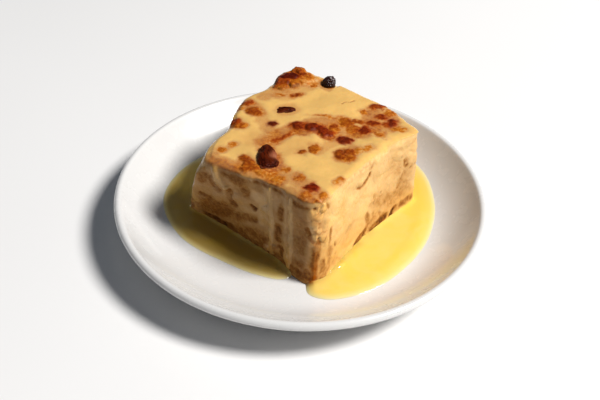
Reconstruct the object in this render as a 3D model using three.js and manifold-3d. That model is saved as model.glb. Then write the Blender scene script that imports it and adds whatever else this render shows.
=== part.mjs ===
// A square of bread pudding under custard, on a small coupe plate with a pool of custard round it.
// Millimetres, +Z up. The origin is the middle of the plate's foot, and the square's front corner faces -Y.
import * as THREE from "three";
import Module from "manifold-3d";

const wasm = await Module();
wasm.setup();

const DEGREE = Math.PI / 180;
const GAP = 0.3; // kept between pieces that touch

// The plate: a rimless china coupe on a foot ring.
const PLATE_RADIUS = 89;
const PLATE_HEIGHT = 22;
const CHINA = 4;
const FOOT_HEIGHT = 2;
const FOOT_RADII = [44, 50];
const FOOT_EDGE = 1.2;
const WELL_RADIUS = 60; // the well is flat out to here, then curves up to the lip
const PLATE_SIDES = 48;
const WELL_STEPS = 6;
const UNDER_STEPS = 3;
const LIP_STEPS = 4;
const WELL_Z = FOOT_HEIGHT + CHINA;

// The square of pudding, in its own frame: +X runs along the right face, +Y along the left face.
const PUDDING_AT = [1.15, 5.35];
const PUDDING_TURN = 51.2 * DEGREE;
const PUDDING_SIDE = 77;
const BASE_Z = WELL_Z + GAP;
const CORNER_RADII = [11, 5, 4, 3]; // upright edges at the front, right, back and left corners
const EDGE_RADII = [3.6, 3.6, 3.6, 1.4]; // the top's edges at the same corners
const TOP_HEIGHTS = [51.6, 50.8, 50.8, 49.2]; // bread at the same corners
const CORNER_BULGES = [[0, 0], [1, 0], [1.5, 1.5], [-5.6, 1]]; // outward where the sides swell most
const BULGE_RISE = 0.6; // below 1 the sides swell most above half height
const BULGE_SPREAD = 4; // how closely the two far corners keep their swelling to themselves
// Edges of the top and of the foot: right face, far right face, far left face and left face.
const TOP_EDGES = [
  [[-38.9, -39.9], [-23, -36.8], [-9, -35.2], [5, -34.4], [21, -35], [37.5, -39]],
  [[37.5, -39], [41.6, -23], [42.8, -7], [43.2, 9], [42.8, 25], [40.5, 41.5]],
  [[-43.2, 20], [-32.4, 26.8], [-20, 28.6], [-9.5, 35.4], [4, 40.4], [16.5, 38.6], [28, 41.6], [40.5, 41.5]],
  [[-38.9, -39.9], [-39.6, -27], [-39.2, -17], [-40.6, -6], [-42.6, 6], [-43.2, 20]],
];
const FOOT_EDGES = [
  [[-42.4, -42], [0, -38.6], [41, -40]],
  [[41, -40], [39.5, 0], [40, 40.5]],
  [[-40.6, 39.6], [0, 39.2], [40, 40.5]],
  [[-42.4, -42], [-39, 0], [-40.6, 39.6]],
];
const CORNER_CUT = 0.32; // how far a rounded corner stands inside the sharp one, as a share of its radius
const TOP_CELLS = 24;
const SIDE_ROWS = 13;
// Browned crags that stand out of the custard: x, y, length, width, turn in degrees, height.
const CRAGS = [
  [32.4, 34.4, 22, 16, -51, 2.7],
  [27, 35.4, 10, 6.5, -35, 3.5],
  [35.4, 33, 11, 7, -60, 3.7],
  [21, 34, 8, 6, -40, 1.9],
  [31.3, 21.8, 6, 4, -51, 0.7],
  [19.4, 22, 8, 3.5, -51, 0.6],
  [14.4, 28.7, 8, 3, -51, 0.5],
  [-3, 31, 10, 8, -51, 1.3],
  [-16.5, 28.1, 8, 8, 0, 1.5],
  [-5.9, 14.9, 5, 4.5, 0, 0.8],
  [0.5, 4.2, 9, 6, -51, 1.3],
  [2.5, -3, 12, 7, -60, 1.8],
  [5.4, -8.1, 10, 7, -51, 1.7],
  [11.5, -7.3, 6, 4, -51, 0.8],
  [-12.4, 4.6, 12, 4, -35, 0.7],
  [16.8, -4, 24, 2.6, -57, 0.6],
  [16, -14.4, 13, 6, 39, 1],
  [37, -12.5, 15, 8, -70, 1.5],
  [19.8, -19.9, 10, 6, -51, 0.8],
  [31.5, -22.6, 9, 8, 0, 1.2],
  [19.5, -26.8, 6, 4, -51, 0.6],
  [5.9, -18.5, 7, 6, -51, 1],
  [-2.5, -25.1, 12, 8, -51, 1.3],
  [4.8, -29.5, 8, 6, -51, 0.8],
  [-9, -12.2, 5, 4.5, 0, 0.8],
  [-14.1, -9.2, 4.5, 4, 0, 0.7],
  [-35.1, 5.8, 11, 7, -70, 1.2],
  [-36.8, -3.5, 11, 6, -80, 1.2],
  [-28.7, -13.4, 6, 4, -51, 0.7],
  [-36.1, 20.4, 5, 4.5, 0, 0.7],
  [-36.7, -15.9, 7, 5, -70, 0.8],
  [-40.6, -19.4, 6, 5, -80, 0.8],
  [-29.4, -22.2, 5, 4, 0, 0.7],
  [-18.4, -34.1, 6, 5, 0, 0.7],
  [-32.3, -30.6, 10, 8, -51, 1.4],
  [-32.4, -36.6, 8, 5, -30, 1],
  [-42.3, -31, 7, 6, 0, 0.9],
];
const CRAG_FOOT = 1.4; // how far a crag's skirt spreads, as a share of its squared half size
const CRAG_STEEPNESS = 1.3;
const LUMP_SIZE = 15; // slow unevenness of the whole block
const LUMP_HEIGHT = 0.8;
const CHUNK_SIZE = [15, 15, 8]; // torn pieces of bread, pressed flat
const CREVICE_DEPTH = 0.3;
const TOP_CREVICE_DEPTH = 0.1;
const CREVICE_WIDTH = 1.6;
const CRAG_SLOPE = 0.6; // upward part of the normal from which a crag has its whole height

// The custard poured over the top.
const COAT = 0.95;
const COAT_EDGE = 0.35; // where it is thinner than this it ends
const COAT_UNEVENNESS = 0.2;
const COAT_RIPPLE = 7;
const CRAG_SHEDS = 0.75; // custard lost for each millimetre of crag
// Runs of custard down the sides: side, place along it, half width, height of the lower end.
const RUNS = [
  ["right", -22, 6, 37],
  ["right", -4, 7, 40],
  ["right", 11, 5, 34],
  ["right", 27, 6, 38],
  ["left", -22.3, 2.2, 10.5],
  ["left", -12, 2.2, 9.5],
  ["left", 15, 3, 32],
  ["far right", -20, 6, 34],
  ["far right", 1, 3.5, 17],
  ["far right", 24, 7, 36],
  ["far left", -22, 5, 28],
  ["far left", 6, 7, 33],
];
const RUN_SLOPE = 0.5; // thickness gained for each millimetre in from a run's edge
const SPILL = 3; // how far the custard comes over the edge between the runs
const SPILL_UNEVENNESS = 1.5;
const SIDE_SLOPES = [0.75, 0.45]; // upward part of the normal: the top's rule above these, the side's below

const CUT_MARGIN = 0.12; // a cut keeps this share of an edge away from its ends, so no triangle is a sliver

// The pool: azimuth in degrees and radius of its outer edge, from the front corner round to left of it.
const POOL_EDGE = [
  [-83, 43],
  [-85.5, 50],
  [-84.5, 56],
  [-77, 59.8],
  [-66, 61],
  [-50, 61.2],
  [-34, 61.4],
  [-10, 64.8],
  [10, 69],
  [30, 72.8],
  [52, 72],
  [90, 68],
  [130, 67.5],
  [158, 69.5],
  [178, 68.8],
  [200, 60.5],
  [224, 51.3],
  [245, 48.6],
  [260, 47.8],
  [266.5, 44.5],
  [268, 38],
];
const POOL_THICKNESS = 1.7;
const POOL_GAP = 0.4;
const POOL_RIM = 9; // the rounded margin of the pool
const POOL_RIM_THICKNESS = 0.35;
const POOL_INSIDE = 22; // a radius hidden under the pudding, before it is cut away
const POOL_COLUMNS = 48;
const POOL_MARGIN_STEPS = [1, 0.5, 0.18, 0]; // places across the margin, as shares of POOL_RIM

// Raisins: name, x, y, height of the middle over the bread, half sizes, turn in degrees.
const RAISINS = [
  ["raisin_black", 39.4, 17.9, 1.6, [4, 3.6, 3.4], -51],
  ["raisin_flat", 7.1, 18.6, 0.3, [4.8, 3.2, 2.1], -51],
  ["raisin_dark", -27.8, -1.2, 0.9, [8.4, 4.3, 3.1], 50],
];
const RAISIN_DETAIL = 2;
const RAISIN_WRINKLE = 0.09;
const RAISIN_WRINKLE_SIZE = 0.45;
const RAISIN_ROOM = 0.9; // bare bread left round a raisin

// Seeds of the noise, so that every build gives the same shape.
const LUMP_SEED = 11;
const SPILL_SEED = 21;
const COAT_SEED = 31;
const RAISIN_SEED = 40;

const CUSTARD = { color: 0xf2cf74, roughness: 0.25, metalness: 0 };
const MATERIALS = {
  plate: { color: 0xefece8, roughness: 0.15, metalness: 0 },
  pudding: { color: 0xc98f4e, roughness: 0.6, metalness: 0 },
  custard_coat: CUSTARD,
  custard_pool: CUSTARD,
  raisin: { color: 0x3a1410, roughness: 0.3, metalness: 0 },
};

// ---- Shared shape functions ----

const clamp01 = (t) => Math.min(1, Math.max(0, t));
const mix = (a, b, t) => a + (b - a) * t;

function smooth(t) {
  const s = clamp01(t);
  return s * s * (3 - 2 * s);
}

// The same number from 0 to 1 each time for a whole-numbered place.
function hash(x, y, z, seed) {
  let h = Math.imul(x, 374761393) ^ Math.imul(y, 668265263);
  h ^= Math.imul(z, 1274126177) ^ Math.imul(seed, 1103515245);
  h = Math.imul(h ^ (h >>> 13), 1274126177);
  return ((h ^ (h >>> 16)) >>> 0) / 4294967296;
}

// Smooth noise from -1 to 1 with lumps of the given size.
function noise(p, size, seed) {
  const at = [p.x / size, p.y / size, p.z / size];
  const low = at.map(Math.floor);
  const part = at.map((a, i) => smooth(a - low[i]));
  let sum = 0;
  for (let corner = 0; corner < 8; corner++) {
    const step = [corner & 1, (corner >> 1) & 1, corner >> 2];
    const weight = step.reduce((w, s, i) => w * (s ? part[i] : 1 - part[i]), 1);
    sum += weight * hash(low[0] + step[0], low[1] + step[1], low[2] + step[2], seed);
  }
  return 2 * sum - 1;
}

// How much further the second nearest chunk of bread is than the nearest, in millimetres: 0 at a crevice.
function chunkMargin(p) {
  const at = [p.x / CHUNK_SIZE[0], p.y / CHUNK_SIZE[1], p.z / CHUNK_SIZE[2]];
  const low = at.map(Math.floor);
  let nearest = Infinity;
  let second = Infinity;
  for (let cell = 0; cell < 27; cell++) {
    const x = low[0] - 1 + (cell % 3);
    const y = low[1] - 1 + (Math.floor(cell / 3) % 3);
    const z = low[2] - 1 + Math.floor(cell / 9);
    const away = Math.hypot(
      x + hash(x, y, z, 1) - at[0],
      y + hash(x, y, z, 2) - at[1],
      z + hash(x, y, z, 3) - at[2],
    );
    second = Math.min(second, Math.max(nearest, away));
    nearest = Math.min(nearest, away);
  }
  return (second - nearest) * CHUNK_SIZE[2];
}

function geometryOf(points, triangles) {
  const geometry = new THREE.BufferGeometry().setFromPoints(points);
  geometry.setIndex(triangles.flat());
  return geometry;
}

// A closed shell: triangles over the outer points, the same over the inner points, and walls round every rim.
function shellOf(outer, inner, triangles) {
  const count = outer.length;
  const edges = triangles.flatMap(([a, b, c]) => [[a, b], [b, c], [c, a]]);
  const there = new Set(edges.map(([a, b]) => `${a} ${b}`));
  const rim = edges.filter(([a, b]) => !there.has(`${b} ${a}`));
  const backs = triangles.map(([a, b, c]) => [c + count, b + count, a + count]);
  const walls = rim.flatMap(([a, b]) => [[b, a, a + count], [b, a + count, b + count]]);
  return [[...outer, ...inner], [...triangles, ...backs, ...walls]];
}

function solidOf(points, triangles) {
  return new wasm.Manifold(
    new wasm.Mesh({
      numProp: 3,
      vertProperties: new Float32Array(points.flatMap((p) => p.toArray())),
      triVerts: new Uint32Array(triangles.flat()),
    }),
  );
}

function largestOf(solid) {
  return solid.decompose().reduce((a, b) => (a.volume() > b.volume() ? a : b));
}

function geometryOfSolid(solid) {
  const mesh = solid.getMesh();
  const geometry = new THREE.BufferGeometry();
  geometry.setAttribute("position", new THREE.BufferAttribute(mesh.vertProperties, 3));
  geometry.setIndex(new THREE.BufferAttribute(mesh.triVerts, 1));
  return geometry;
}

// ---- Plate ----

// A point on the china's section: the middle radius, and how far off the middle surface, up and inward.
function china(radius, off) {
  const run = PLATE_RADIUS - CHINA / 2 - WELL_RADIUS;
  const rise = PLATE_HEIGHT - WELL_Z;
  const t = Math.max(0, (radius - WELL_RADIUS) / run);
  const slope = Math.atan((2 * rise * t) / run);
  return new THREE.Vector2(
    radius - off * Math.sin(slope),
    WELL_Z - CHINA / 2 + rise * t * t + off * Math.cos(slope),
  );
}

function plateGeometry() {
  const last = PLATE_RADIUS - CHINA / 2;
  const half = CHINA / 2;
  const side = (steps, off) =>
    Array.from({ length: steps + 1 }, (_, i) => china(mix(WELL_RADIUS, last, i / steps), off));
  const top = side(WELL_STEPS, half);
  const under = side(UNDER_STEPS, -half).reverse();
  const from = china(last, half).sub(china(last, 0)).angle();
  const lip = [];
  for (let i = 1; i < LIP_STEPS; i++) {
    const turn = from - (Math.PI * i) / LIP_STEPS;
    const edge = new THREE.Vector2(Math.cos(turn), Math.sin(turn)).multiplyScalar(half);
    lip.push(china(last, 0).add(edge));
  }
  const foot = [
    [FOOT_RADII[1] + FOOT_EDGE, FOOT_HEIGHT],
    [FOOT_RADII[1], FOOT_EDGE],
    [FOOT_RADII[1] - FOOT_EDGE, 0],
    [FOOT_RADII[0] + FOOT_EDGE, 0],
    [FOOT_RADII[0], FOOT_EDGE],
    [FOOT_RADII[0] - FOOT_EDGE, FOOT_HEIGHT],
    [0, FOOT_HEIGHT],
  ].map(([r, z]) => new THREE.Vector2(r, z));
  const profile = [new THREE.Vector2(0, WELL_Z), ...top, ...lip, ...under, ...foot].reverse();
  const geometry = new THREE.LatheGeometry(profile, PLATE_SIDES);
  geometry.rotateX(Math.PI / 2);
  return geometry;
}

// ---- Pudding ----

// A place on the smooth curve through some points, which leaves both ends without bending.
function along(edge, t) {
  const points = edge.map((at) => new THREE.Vector2(...at));
  const last = points.length - 1;
  const before = points[0].clone().multiplyScalar(2).sub(points[1]);
  const after = points[last].clone().multiplyScalar(2).sub(points[last - 1]);
  return new THREE.SplineCurve([before, ...points, after]).getPoint((1 + t * last) / (last + 2));
}

// The place at u, v on a plan bounded by four edges.
function onPlan(edges, u, v) {
  const [right, farRight, farLeft, left] = edges;
  const at = (edge, end) => new THREE.Vector2(...edge.at(end));
  const place = along(right, u).multiplyScalar(1 - v);
  place.addScaledVector(along(farLeft, u), v);
  place.addScaledVector(along(left, v), 1 - u);
  place.addScaledVector(along(farRight, v), u);
  place.addScaledVector(at(right, 0), -(1 - u) * (1 - v));
  place.addScaledVector(at(right, -1), -u * (1 - v));
  place.addScaledVector(at(farLeft, 0), -(1 - u) * v);
  place.addScaledVector(at(farLeft, -1), -u * v);
  return place;
}

// Values at the front, right, back and left corners, blended at u, v.
function blend(corners, u, v) {
  const [front, right, back, left] = corners;
  return mix(mix(front, right, u), mix(left, back, u), v);
}

// How far a rounded corner lies inside the sharp one, this far from the corner.
function rounding(radius, away) {
  return CORNER_CUT * radius * Math.max(0, 1 - away / radius) ** 2;
}

// A point of the smooth block: u, v on its plan, t from 0 on the top to 1 at the foot.
function blockPoint(u, v, t) {
  const place = onPlan(TOP_EDGES, u, v).lerp(onPlan(FOOT_EDGES, u, v), t);
  const swell = Math.sin(Math.PI * t ** BULGE_RISE);
  place.x += swell * blend(CORNER_BULGES.map((c) => c[0]), u, v ** BULGE_SPREAD);
  place.y += swell * blend(CORNER_BULGES.map((c) => c[1]), u, v ** BULGE_SPREAD);
  const fromCorner = PUDDING_SIDE * Math.hypot(Math.min(u, 1 - u), Math.min(v, 1 - v));
  const [front, right, back, left] = CORNER_RADII;
  const radius = v < 0.5 ? (u < 0.5 ? front : right) : (u < 0.5 ? left : back);
  const top = blend(TOP_HEIGHTS, u, v);
  const fromEdge = t > 0 ? t * (top - BASE_Z) : PUDDING_SIDE * Math.min(u, 1 - u, v, 1 - v);
  const eased = rounding(blend(EDGE_RADII, u, v), fromEdge) * Math.SQRT1_2;
  place.setLength(place.length() - Math.hypot(rounding(radius, fromCorner), eased));
  return new THREE.Vector3(place.x, place.y, mix(top, BASE_Z, t) - eased);
}

function cragHeight(x, y) {
  let height = 0;
  for (const [cx, cy, length, width, turn, high] of CRAGS) {
    const c = Math.cos(turn * DEGREE);
    const s = Math.sin(turn * DEGREE);
    const lengthwise = ((x - cx) * c + (y - cy) * s) / (length / 2);
    const across = ((y - cy) * c - (x - cx) * s) / (width / 2);
    const inside = Math.max(0, 1 - (lengthwise ** 2 + across ** 2) / CRAG_FOOT);
    height = Math.max(height, high * smooth(inside * CRAG_STEEPNESS));
  }
  return height;
}

// The block's surface as a net: the top's cells, then rows down the sides, then a flat foot.
function puddingNet() {
  const n = TOP_CELLS;
  const points = [];
  const triangles = [];
  const quad = (a, b, c, d, flip) => {
    triangles.push(...(flip ? [[a, b, d], [b, c, d]] : [[a, b, c], [a, c, d]]));
  };
  const id = (i, j) => i * (n + 1) + j;
  for (let i = 0; i <= n; i++) {
    for (let j = 0; j <= n; j++) points.push(blockPoint(i / n, j / n, 0));
  }
  for (let i = 0; i < n; i++) {
    for (let j = 0; j < n; j++) quad(id(i, j), id(i + 1, j), id(i + 1, j + 1), id(i, j + 1), (i + j) % 2);
  }
  const steps = Array.from({ length: n }, (_, i) => i);
  const border = [
    ...steps.map((i) => [i, 0]),
    ...steps.map((i) => [n, i]),
    ...steps.map((i) => [n - i, n]),
    ...steps.map((i) => [0, n - i]),
  ];
  let upper = border.map(([i, j]) => id(i, j));
  for (let row = 1; row <= SIDE_ROWS; row++) {
    const lower = border.map(([i, j]) => points.push(blockPoint(i / n, j / n, row / SIDE_ROWS)) - 1);
    border.forEach((_, k) => {
      const next = (k + 1) % border.length;
      quad(lower[k], lower[next], upper[next], upper[k], (k + row) % 2);
    });
    upper = lower;
  }
  const sides = triangles.slice();
  const middle = points.push(new THREE.Vector3(0, 0, BASE_Z)) - 1;
  upper.forEach((p, k) => triangles.push([middle, upper[(k + 1) % upper.length], p]));
  return { points, triangles, sides, foot: new Set([...upper, middle]) };
}

function normalsOf(points, triangles) {
  const geometry = geometryOf(points, triangles);
  geometry.computeVertexNormals();
  const normals = geometry.getAttribute("normal");
  return points.map((_, i) => new THREE.Vector3().fromBufferAttribute(normals, i));
}

// Raises the crags, sinks the crevices between chunks of bread, and makes the block uneven.
function roughen(net) {
  const normals = normalsOf(net.points, net.sides);
  net.points.forEach((p, i) => {
    if (net.foot.has(i)) return;
    const normal = normals[i];
    const up = smooth(normal.z / CRAG_SLOPE);
    const crevice = Math.exp(-chunkMargin(p) / CREVICE_WIDTH) * mix(CREVICE_DEPTH, TOP_CREVICE_DEPTH, up);
    const crag = up * cragHeight(p.x, p.y);
    p.addScaledVector(normal, LUMP_HEIGHT * noise(p, LUMP_SIZE, LUMP_SEED) - crevice);
    p.z += crag;
  });
  return net;
}

function grown(net, by) {
  return net.points.map((p, i) => {
    const moved = p.clone().addScaledVector(net.normals[i], by);
    if (net.foot.has(i)) moved.z = BASE_Z - by;
    return moved;
  });
}

// ---- Custard over the top ----

function sideOf(normal) {
  if (Math.abs(normal.x) > Math.abs(normal.y)) return normal.x > 0 ? "far right" : "left";
  return normal.y > 0 ? "far left" : "right";
}

// How far inside the custard's edge a point of a side is, whether in the spill under the top or in a run.
function insideRun(p, normal, top) {
  const side = sideOf(normal);
  const place = side === "right" || side === "far left" ? p.x : p.y;
  let inside = p.z - (top - SPILL - SPILL_UNEVENNESS * noise(p, COAT_RIPPLE, SPILL_SEED));
  for (const [name, middle, half, low] of RUNS) {
    if (name !== side) continue;
    const below = Math.max(0, low + half - p.z);
    inside = Math.max(inside, half - Math.hypot(place - middle, below));
  }
  return inside;
}

function coatThickness(p, normal) {
  const spread = COAT * (1 + COAT_UNEVENNESS * noise(p, COAT_RIPPLE, COAT_SEED));
  let thickness = spread - CRAG_SHEDS * cragHeight(p.x, p.y);
  const slopeDown = smooth((SIDE_SLOPES[0] - normal.z) / (SIDE_SLOPES[0] - SIDE_SLOPES[1]));
  if (slopeDown > 0) {
    const top = blend(TOP_HEIGHTS, clamp01(p.x / PUDDING_SIDE + 0.5), clamp01(p.y / PUDDING_SIDE + 0.5));
    const side = Math.min(spread, COAT_EDGE + RUN_SLOPE * insideRun(p, normal, top));
    thickness = mix(thickness, side, slopeDown);
  }
  for (const [, x, y, , half, turn] of RAISINS) {
    const c = Math.cos(turn * DEGREE);
    const s = Math.sin(turn * DEGREE);
    const lengthwise = ((p.x - x) * c + (p.y - y) * s) / (half[0] + RAISIN_ROOM);
    const across = ((p.y - y) * c - (p.x - x) * s) / (half[1] + RAISIN_ROOM);
    const outside = (Math.hypot(lengthwise, across) - 1) * half[1];
    thickness = Math.min(thickness, COAT_EDGE + outside);
  }
  return thickness;
}

// The part of the net where the custard is thick enough, cut along the line where it ends.
function coatPatch(net) {
  const depth = net.points.map((p, i) => coatThickness(p, net.normals[i]));
  const wet = (i) => depth[i] > COAT_EDGE;
  const corners = [];
  const known = new Map();
  const keep = (key, point, normal, thick) => {
    if (!known.has(key)) known.set(key, corners.push({ point, normal, thick }) - 1);
    return known.get(key);
  };
  const cut = (a, b) => {
    const [low, high] = a < b ? [a, b] : [b, a];
    const share = (COAT_EDGE - depth[low]) / (depth[high] - depth[low]);
    const t = Math.min(1 - CUT_MARGIN, Math.max(CUT_MARGIN, share));
    const point = net.points[low].clone().lerp(net.points[high], t);
    const normal = net.normals[low].clone().lerp(net.normals[high], t);
    return keep(`${low} ${high}`, point, normal, COAT_EDGE);
  };
  const whole = (i) => keep(`${i}`, net.points[i], net.normals[i], depth[i]);
  const triangles = [];
  for (const triangle of net.sides) {
    const outline = [];
    triangle.forEach((a, k) => {
      const b = triangle[(k + 1) % 3];
      if (wet(a)) outline.push(whole(a));
      if (wet(a) !== wet(b)) outline.push(cut(a, b));
    });
    for (let k = 2; k < outline.length; k++) triangles.push([outline[0], outline[k - 1], outline[k]]);
  }
  return { corners, triangles };
}

// The triangles of the largest piece that hangs together.
function largestPiece(triangles, count) {
  const parent = Array.from({ length: count }, (_, i) => i);
  const root = (i) => {
    while (parent[i] !== i) i = parent[i] = parent[parent[i]];
    return i;
  };
  for (const [a, b, c] of triangles) {
    parent[root(b)] = root(a);
    parent[root(c)] = root(a);
  }
  const sizes = new Map();
  for (const [a] of triangles) sizes.set(root(a), (sizes.get(root(a)) ?? 0) + 1);
  const most = Math.max(...sizes.values());
  return triangles.filter(([a]) => sizes.get(root(a)) === most);
}

function coatGeometry(net) {
  const patch = coatPatch(net);
  const outer = largestPiece(patch.triangles, patch.corners.length);
  const lift = ({ point, normal }, by) => point.clone().addScaledVector(normal, by);
  const upper = patch.corners.map((c) => lift(c, GAP + c.thick));
  const lower = patch.corners.map((c) => lift(c, GAP));
  return geometryOf(...shellOf(upper, lower, outer));
}

// ---- Pool ----

function poolGeometry(net) {
  const rows = POOL_MARGIN_STEPS.length + 1;
  const upper = [];
  const lower = [];
  for (let k = 0; k <= POOL_COLUMNS; k++) {
    const { x: azimuth, y: radius } = along(POOL_EDGE, k / POOL_COLUMNS);
    const margin = Math.min(POOL_RIM, (radius - POOL_INSIDE) / 2);
    const stations = [[POOL_INSIDE, 1], ...POOL_MARGIN_STEPS.map((s) => [radius - s * margin, s])];
    for (const [at, share] of stations) {
      const thick = mix(POOL_RIM_THICKNESS, POOL_THICKNESS, Math.sqrt(1 - (1 - share) ** 2));
      for (const [list, off] of [[lower, POOL_GAP], [upper, POOL_GAP + thick]]) {
        const { x, y } = china(at, CHINA / 2 + off);
        list.push(new THREE.Vector3(x * Math.cos(azimuth * DEGREE), x * Math.sin(azimuth * DEGREE), y));
      }
    }
  }
  const top = [];
  for (let k = 0; k < POOL_COLUMNS; k++) {
    for (let i = 0; i < rows - 1; i++) {
      const a = k * rows + i;
      top.push([a, a + 1, a + rows + 1], [a, a + rows + 1, a + rows]);
    }
  }
  const sheet = solidOf(...shellOf(upper, lower, top));
  const turned = grown(net, POOL_GAP).map(toPlate);
  return geometryOfSolid(largestOf(sheet.subtract(solidOf(turned, net.triangles))));
}

// ---- Raisins ----

function raisinGeometry(net, [, x, y, over, half, turn], index) {
  const ball = new THREE.IcosahedronGeometry(1, RAISIN_DETAIL);
  ball.deleteAttribute("normal");
  ball.deleteAttribute("uv");
  const { points, triangles } = welded(ball);
  const up = surfaceHeight(net, x, y) + over;
  for (const p of points) {
    p.multiplyScalar(1 + RAISIN_WRINKLE * noise(p, RAISIN_WRINKLE_SIZE, RAISIN_SEED + index));
    p.multiply(new THREE.Vector3(...half));
    p.applyAxisAngle(new THREE.Vector3(0, 0, 1), turn * DEGREE);
    p.add(new THREE.Vector3(x, y, up));
  }
  const bread = solidOf(grown(net, GAP), net.triangles);
  return geometryOfSolid(largestOf(solidOf(points, triangles).subtract(bread)));
}

// Shared corners for a geometry whose triangles each have their own.
function welded(geometry) {
  const position = geometry.getAttribute("position");
  const known = new Map();
  const points = [];
  const ids = [];
  for (let i = 0; i < position.count; i++) {
    const p = new THREE.Vector3().fromBufferAttribute(position, i);
    const key = p.toArray().map((a) => a.toFixed(4) * 1).join();
    if (!known.has(key)) known.set(key, points.push(p) - 1);
    ids.push(known.get(key));
  }
  const triangles = [];
  for (let i = 0; i < ids.length; i += 3) triangles.push(ids.slice(i, i + 3));
  return { points, triangles };
}

// Height of the bread at the top's point nearest to x, y.
function surfaceHeight(net, x, y) {
  const lowest = Math.min(...TOP_HEIGHTS) - Math.max(...EDGE_RADII);
  const away = (p) => Math.hypot(p.x - x, p.y - y) + (p.z < lowest ? PUDDING_SIDE : 0);
  return net.points.reduce((best, p) => (away(p) < away(best) ? p : best)).z;
}

// From the pudding's own frame to the plate's.
function toPlate(p) {
  const turned = p.clone().applyAxisAngle(new THREE.Vector3(0, 0, 1), PUDDING_TURN);
  return turned.add(new THREE.Vector3(...PUDDING_AT, 0));
}

// ---- The part ----

function named(name, geometry, material = MATERIALS[name]) {
  const mesh = new THREE.Mesh(geometry, new THREE.MeshStandardMaterial(material));
  mesh.name = name;
  return mesh;
}

function build() {
  const net = roughen(puddingNet());
  net.normals = normalsOf(net.points, net.sides);
  const square = new THREE.Group();
  square.position.set(...PUDDING_AT, 0);
  square.rotation.z = PUDDING_TURN;
  square.add(named("pudding", geometryOf(net.points, net.triangles)));
  square.add(named("custard_coat", coatGeometry(net)));
  RAISINS.forEach((raisin, i) => {
    square.add(named(raisin[0], raisinGeometry(net, raisin, i), MATERIALS.raisin));
  });
  const part = new THREE.Group();
  part.add(named("plate", plateGeometry()));
  part.add(named("custard_pool", poolGeometry(net)));
  part.add(square);
  return part;
}

const part = build();

export default part;
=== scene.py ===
"""A square of bread pudding under custard on a small coupe plate: looks for Blender 4.5.

Sizes are in millimetres and become metres where a mesh is made. The pudding has its own frame, as in the
part's source: +X runs along its right face and +Y along its left face, away from the front corner.
"""

import math

import bpy
import numpy as np
from mathutils import Matrix

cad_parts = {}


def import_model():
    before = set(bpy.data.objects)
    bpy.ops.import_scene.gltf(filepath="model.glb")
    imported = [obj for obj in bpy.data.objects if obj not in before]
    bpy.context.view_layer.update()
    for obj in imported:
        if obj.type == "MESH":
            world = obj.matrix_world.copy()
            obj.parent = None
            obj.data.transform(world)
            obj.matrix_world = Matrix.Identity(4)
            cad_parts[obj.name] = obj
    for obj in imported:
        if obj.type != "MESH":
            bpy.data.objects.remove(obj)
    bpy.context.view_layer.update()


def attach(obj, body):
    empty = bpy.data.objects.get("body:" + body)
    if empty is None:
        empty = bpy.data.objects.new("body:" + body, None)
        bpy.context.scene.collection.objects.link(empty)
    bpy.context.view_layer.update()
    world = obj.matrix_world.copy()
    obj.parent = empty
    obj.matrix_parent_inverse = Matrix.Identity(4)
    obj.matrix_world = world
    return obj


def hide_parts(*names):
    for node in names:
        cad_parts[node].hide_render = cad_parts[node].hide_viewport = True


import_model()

MM = 0.001
GAP = 0.3

# ---- Sizes that follow the part's source ----

PLATE_RADIUS = 89
PLATE_HEIGHT = 22
CHINA = 4
FOOT_HEIGHT = 2
FOOT_RADII = (44, 50)
FOOT_EDGE = 1.2
WELL_RADIUS = 60
WELL_Z = FOOT_HEIGHT + CHINA

PUDDING_AT = np.array([1.15, 5.35])
PUDDING_TURN = math.radians(51.2)
PUDDING_SIDE = 77
BASE_Z = WELL_Z + GAP
CORNER_RADII = (11, 5, 4, 3)
EDGE_RADII = (3.6, 3.6, 3.6, 1.4)
TOP_HEIGHTS = (51.6, 50.8, 50.8, 49.2)
CORNER_BULGES = ((0, 0), (1, 0), (1.5, 1.5), (-5.6, 1))
BULGE_SPREAD = 4
BULGE_RISE = 0.6
CORNER_CUT = 0.32
TOP_EDGES = (
    ((-38.9, -39.9), (-23, -36.8), (-9, -35.2), (5, -34.4), (21, -35), (37.5, -39)),
    ((37.5, -39), (41.6, -23), (42.8, -7), (43.2, 9), (42.8, 25), (40.5, 41.5)),
    (
        (-43.2, 20), (-32.4, 26.8), (-20, 28.6), (-9.5, 35.4),
        (4, 40.4), (16.5, 38.6), (28, 41.6), (40.5, 41.5),
    ),
    ((-38.9, -39.9), (-39.6, -27), (-39.2, -17), (-40.6, -6), (-42.6, 6), (-43.2, 20)),
)
FOOT_EDGES = (
    ((-42.4, -42), (0, -38.6), (41, -40)),
    ((41, -40), (39.5, 0), (40, 40.5)),
    ((-40.6, 39.6), (0, 39.2), (40, 40.5)),
    ((-42.4, -42), (-39, 0), (-40.6, 39.6)),
)
LUMP_SIZE = 15
LUMP_HEIGHT = 0.8
CHUNK_SIZE = np.array([15, 15, 8])
CREVICE_DEPTH = 0.3
TOP_CREVICE_DEPTH = 0.1
CREVICE_WIDTH = 1.6
CRAG_SLOPE = 0.6
CRAG_FOOT = 1.4
CRAG_STEEPNESS = 1.3

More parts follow.
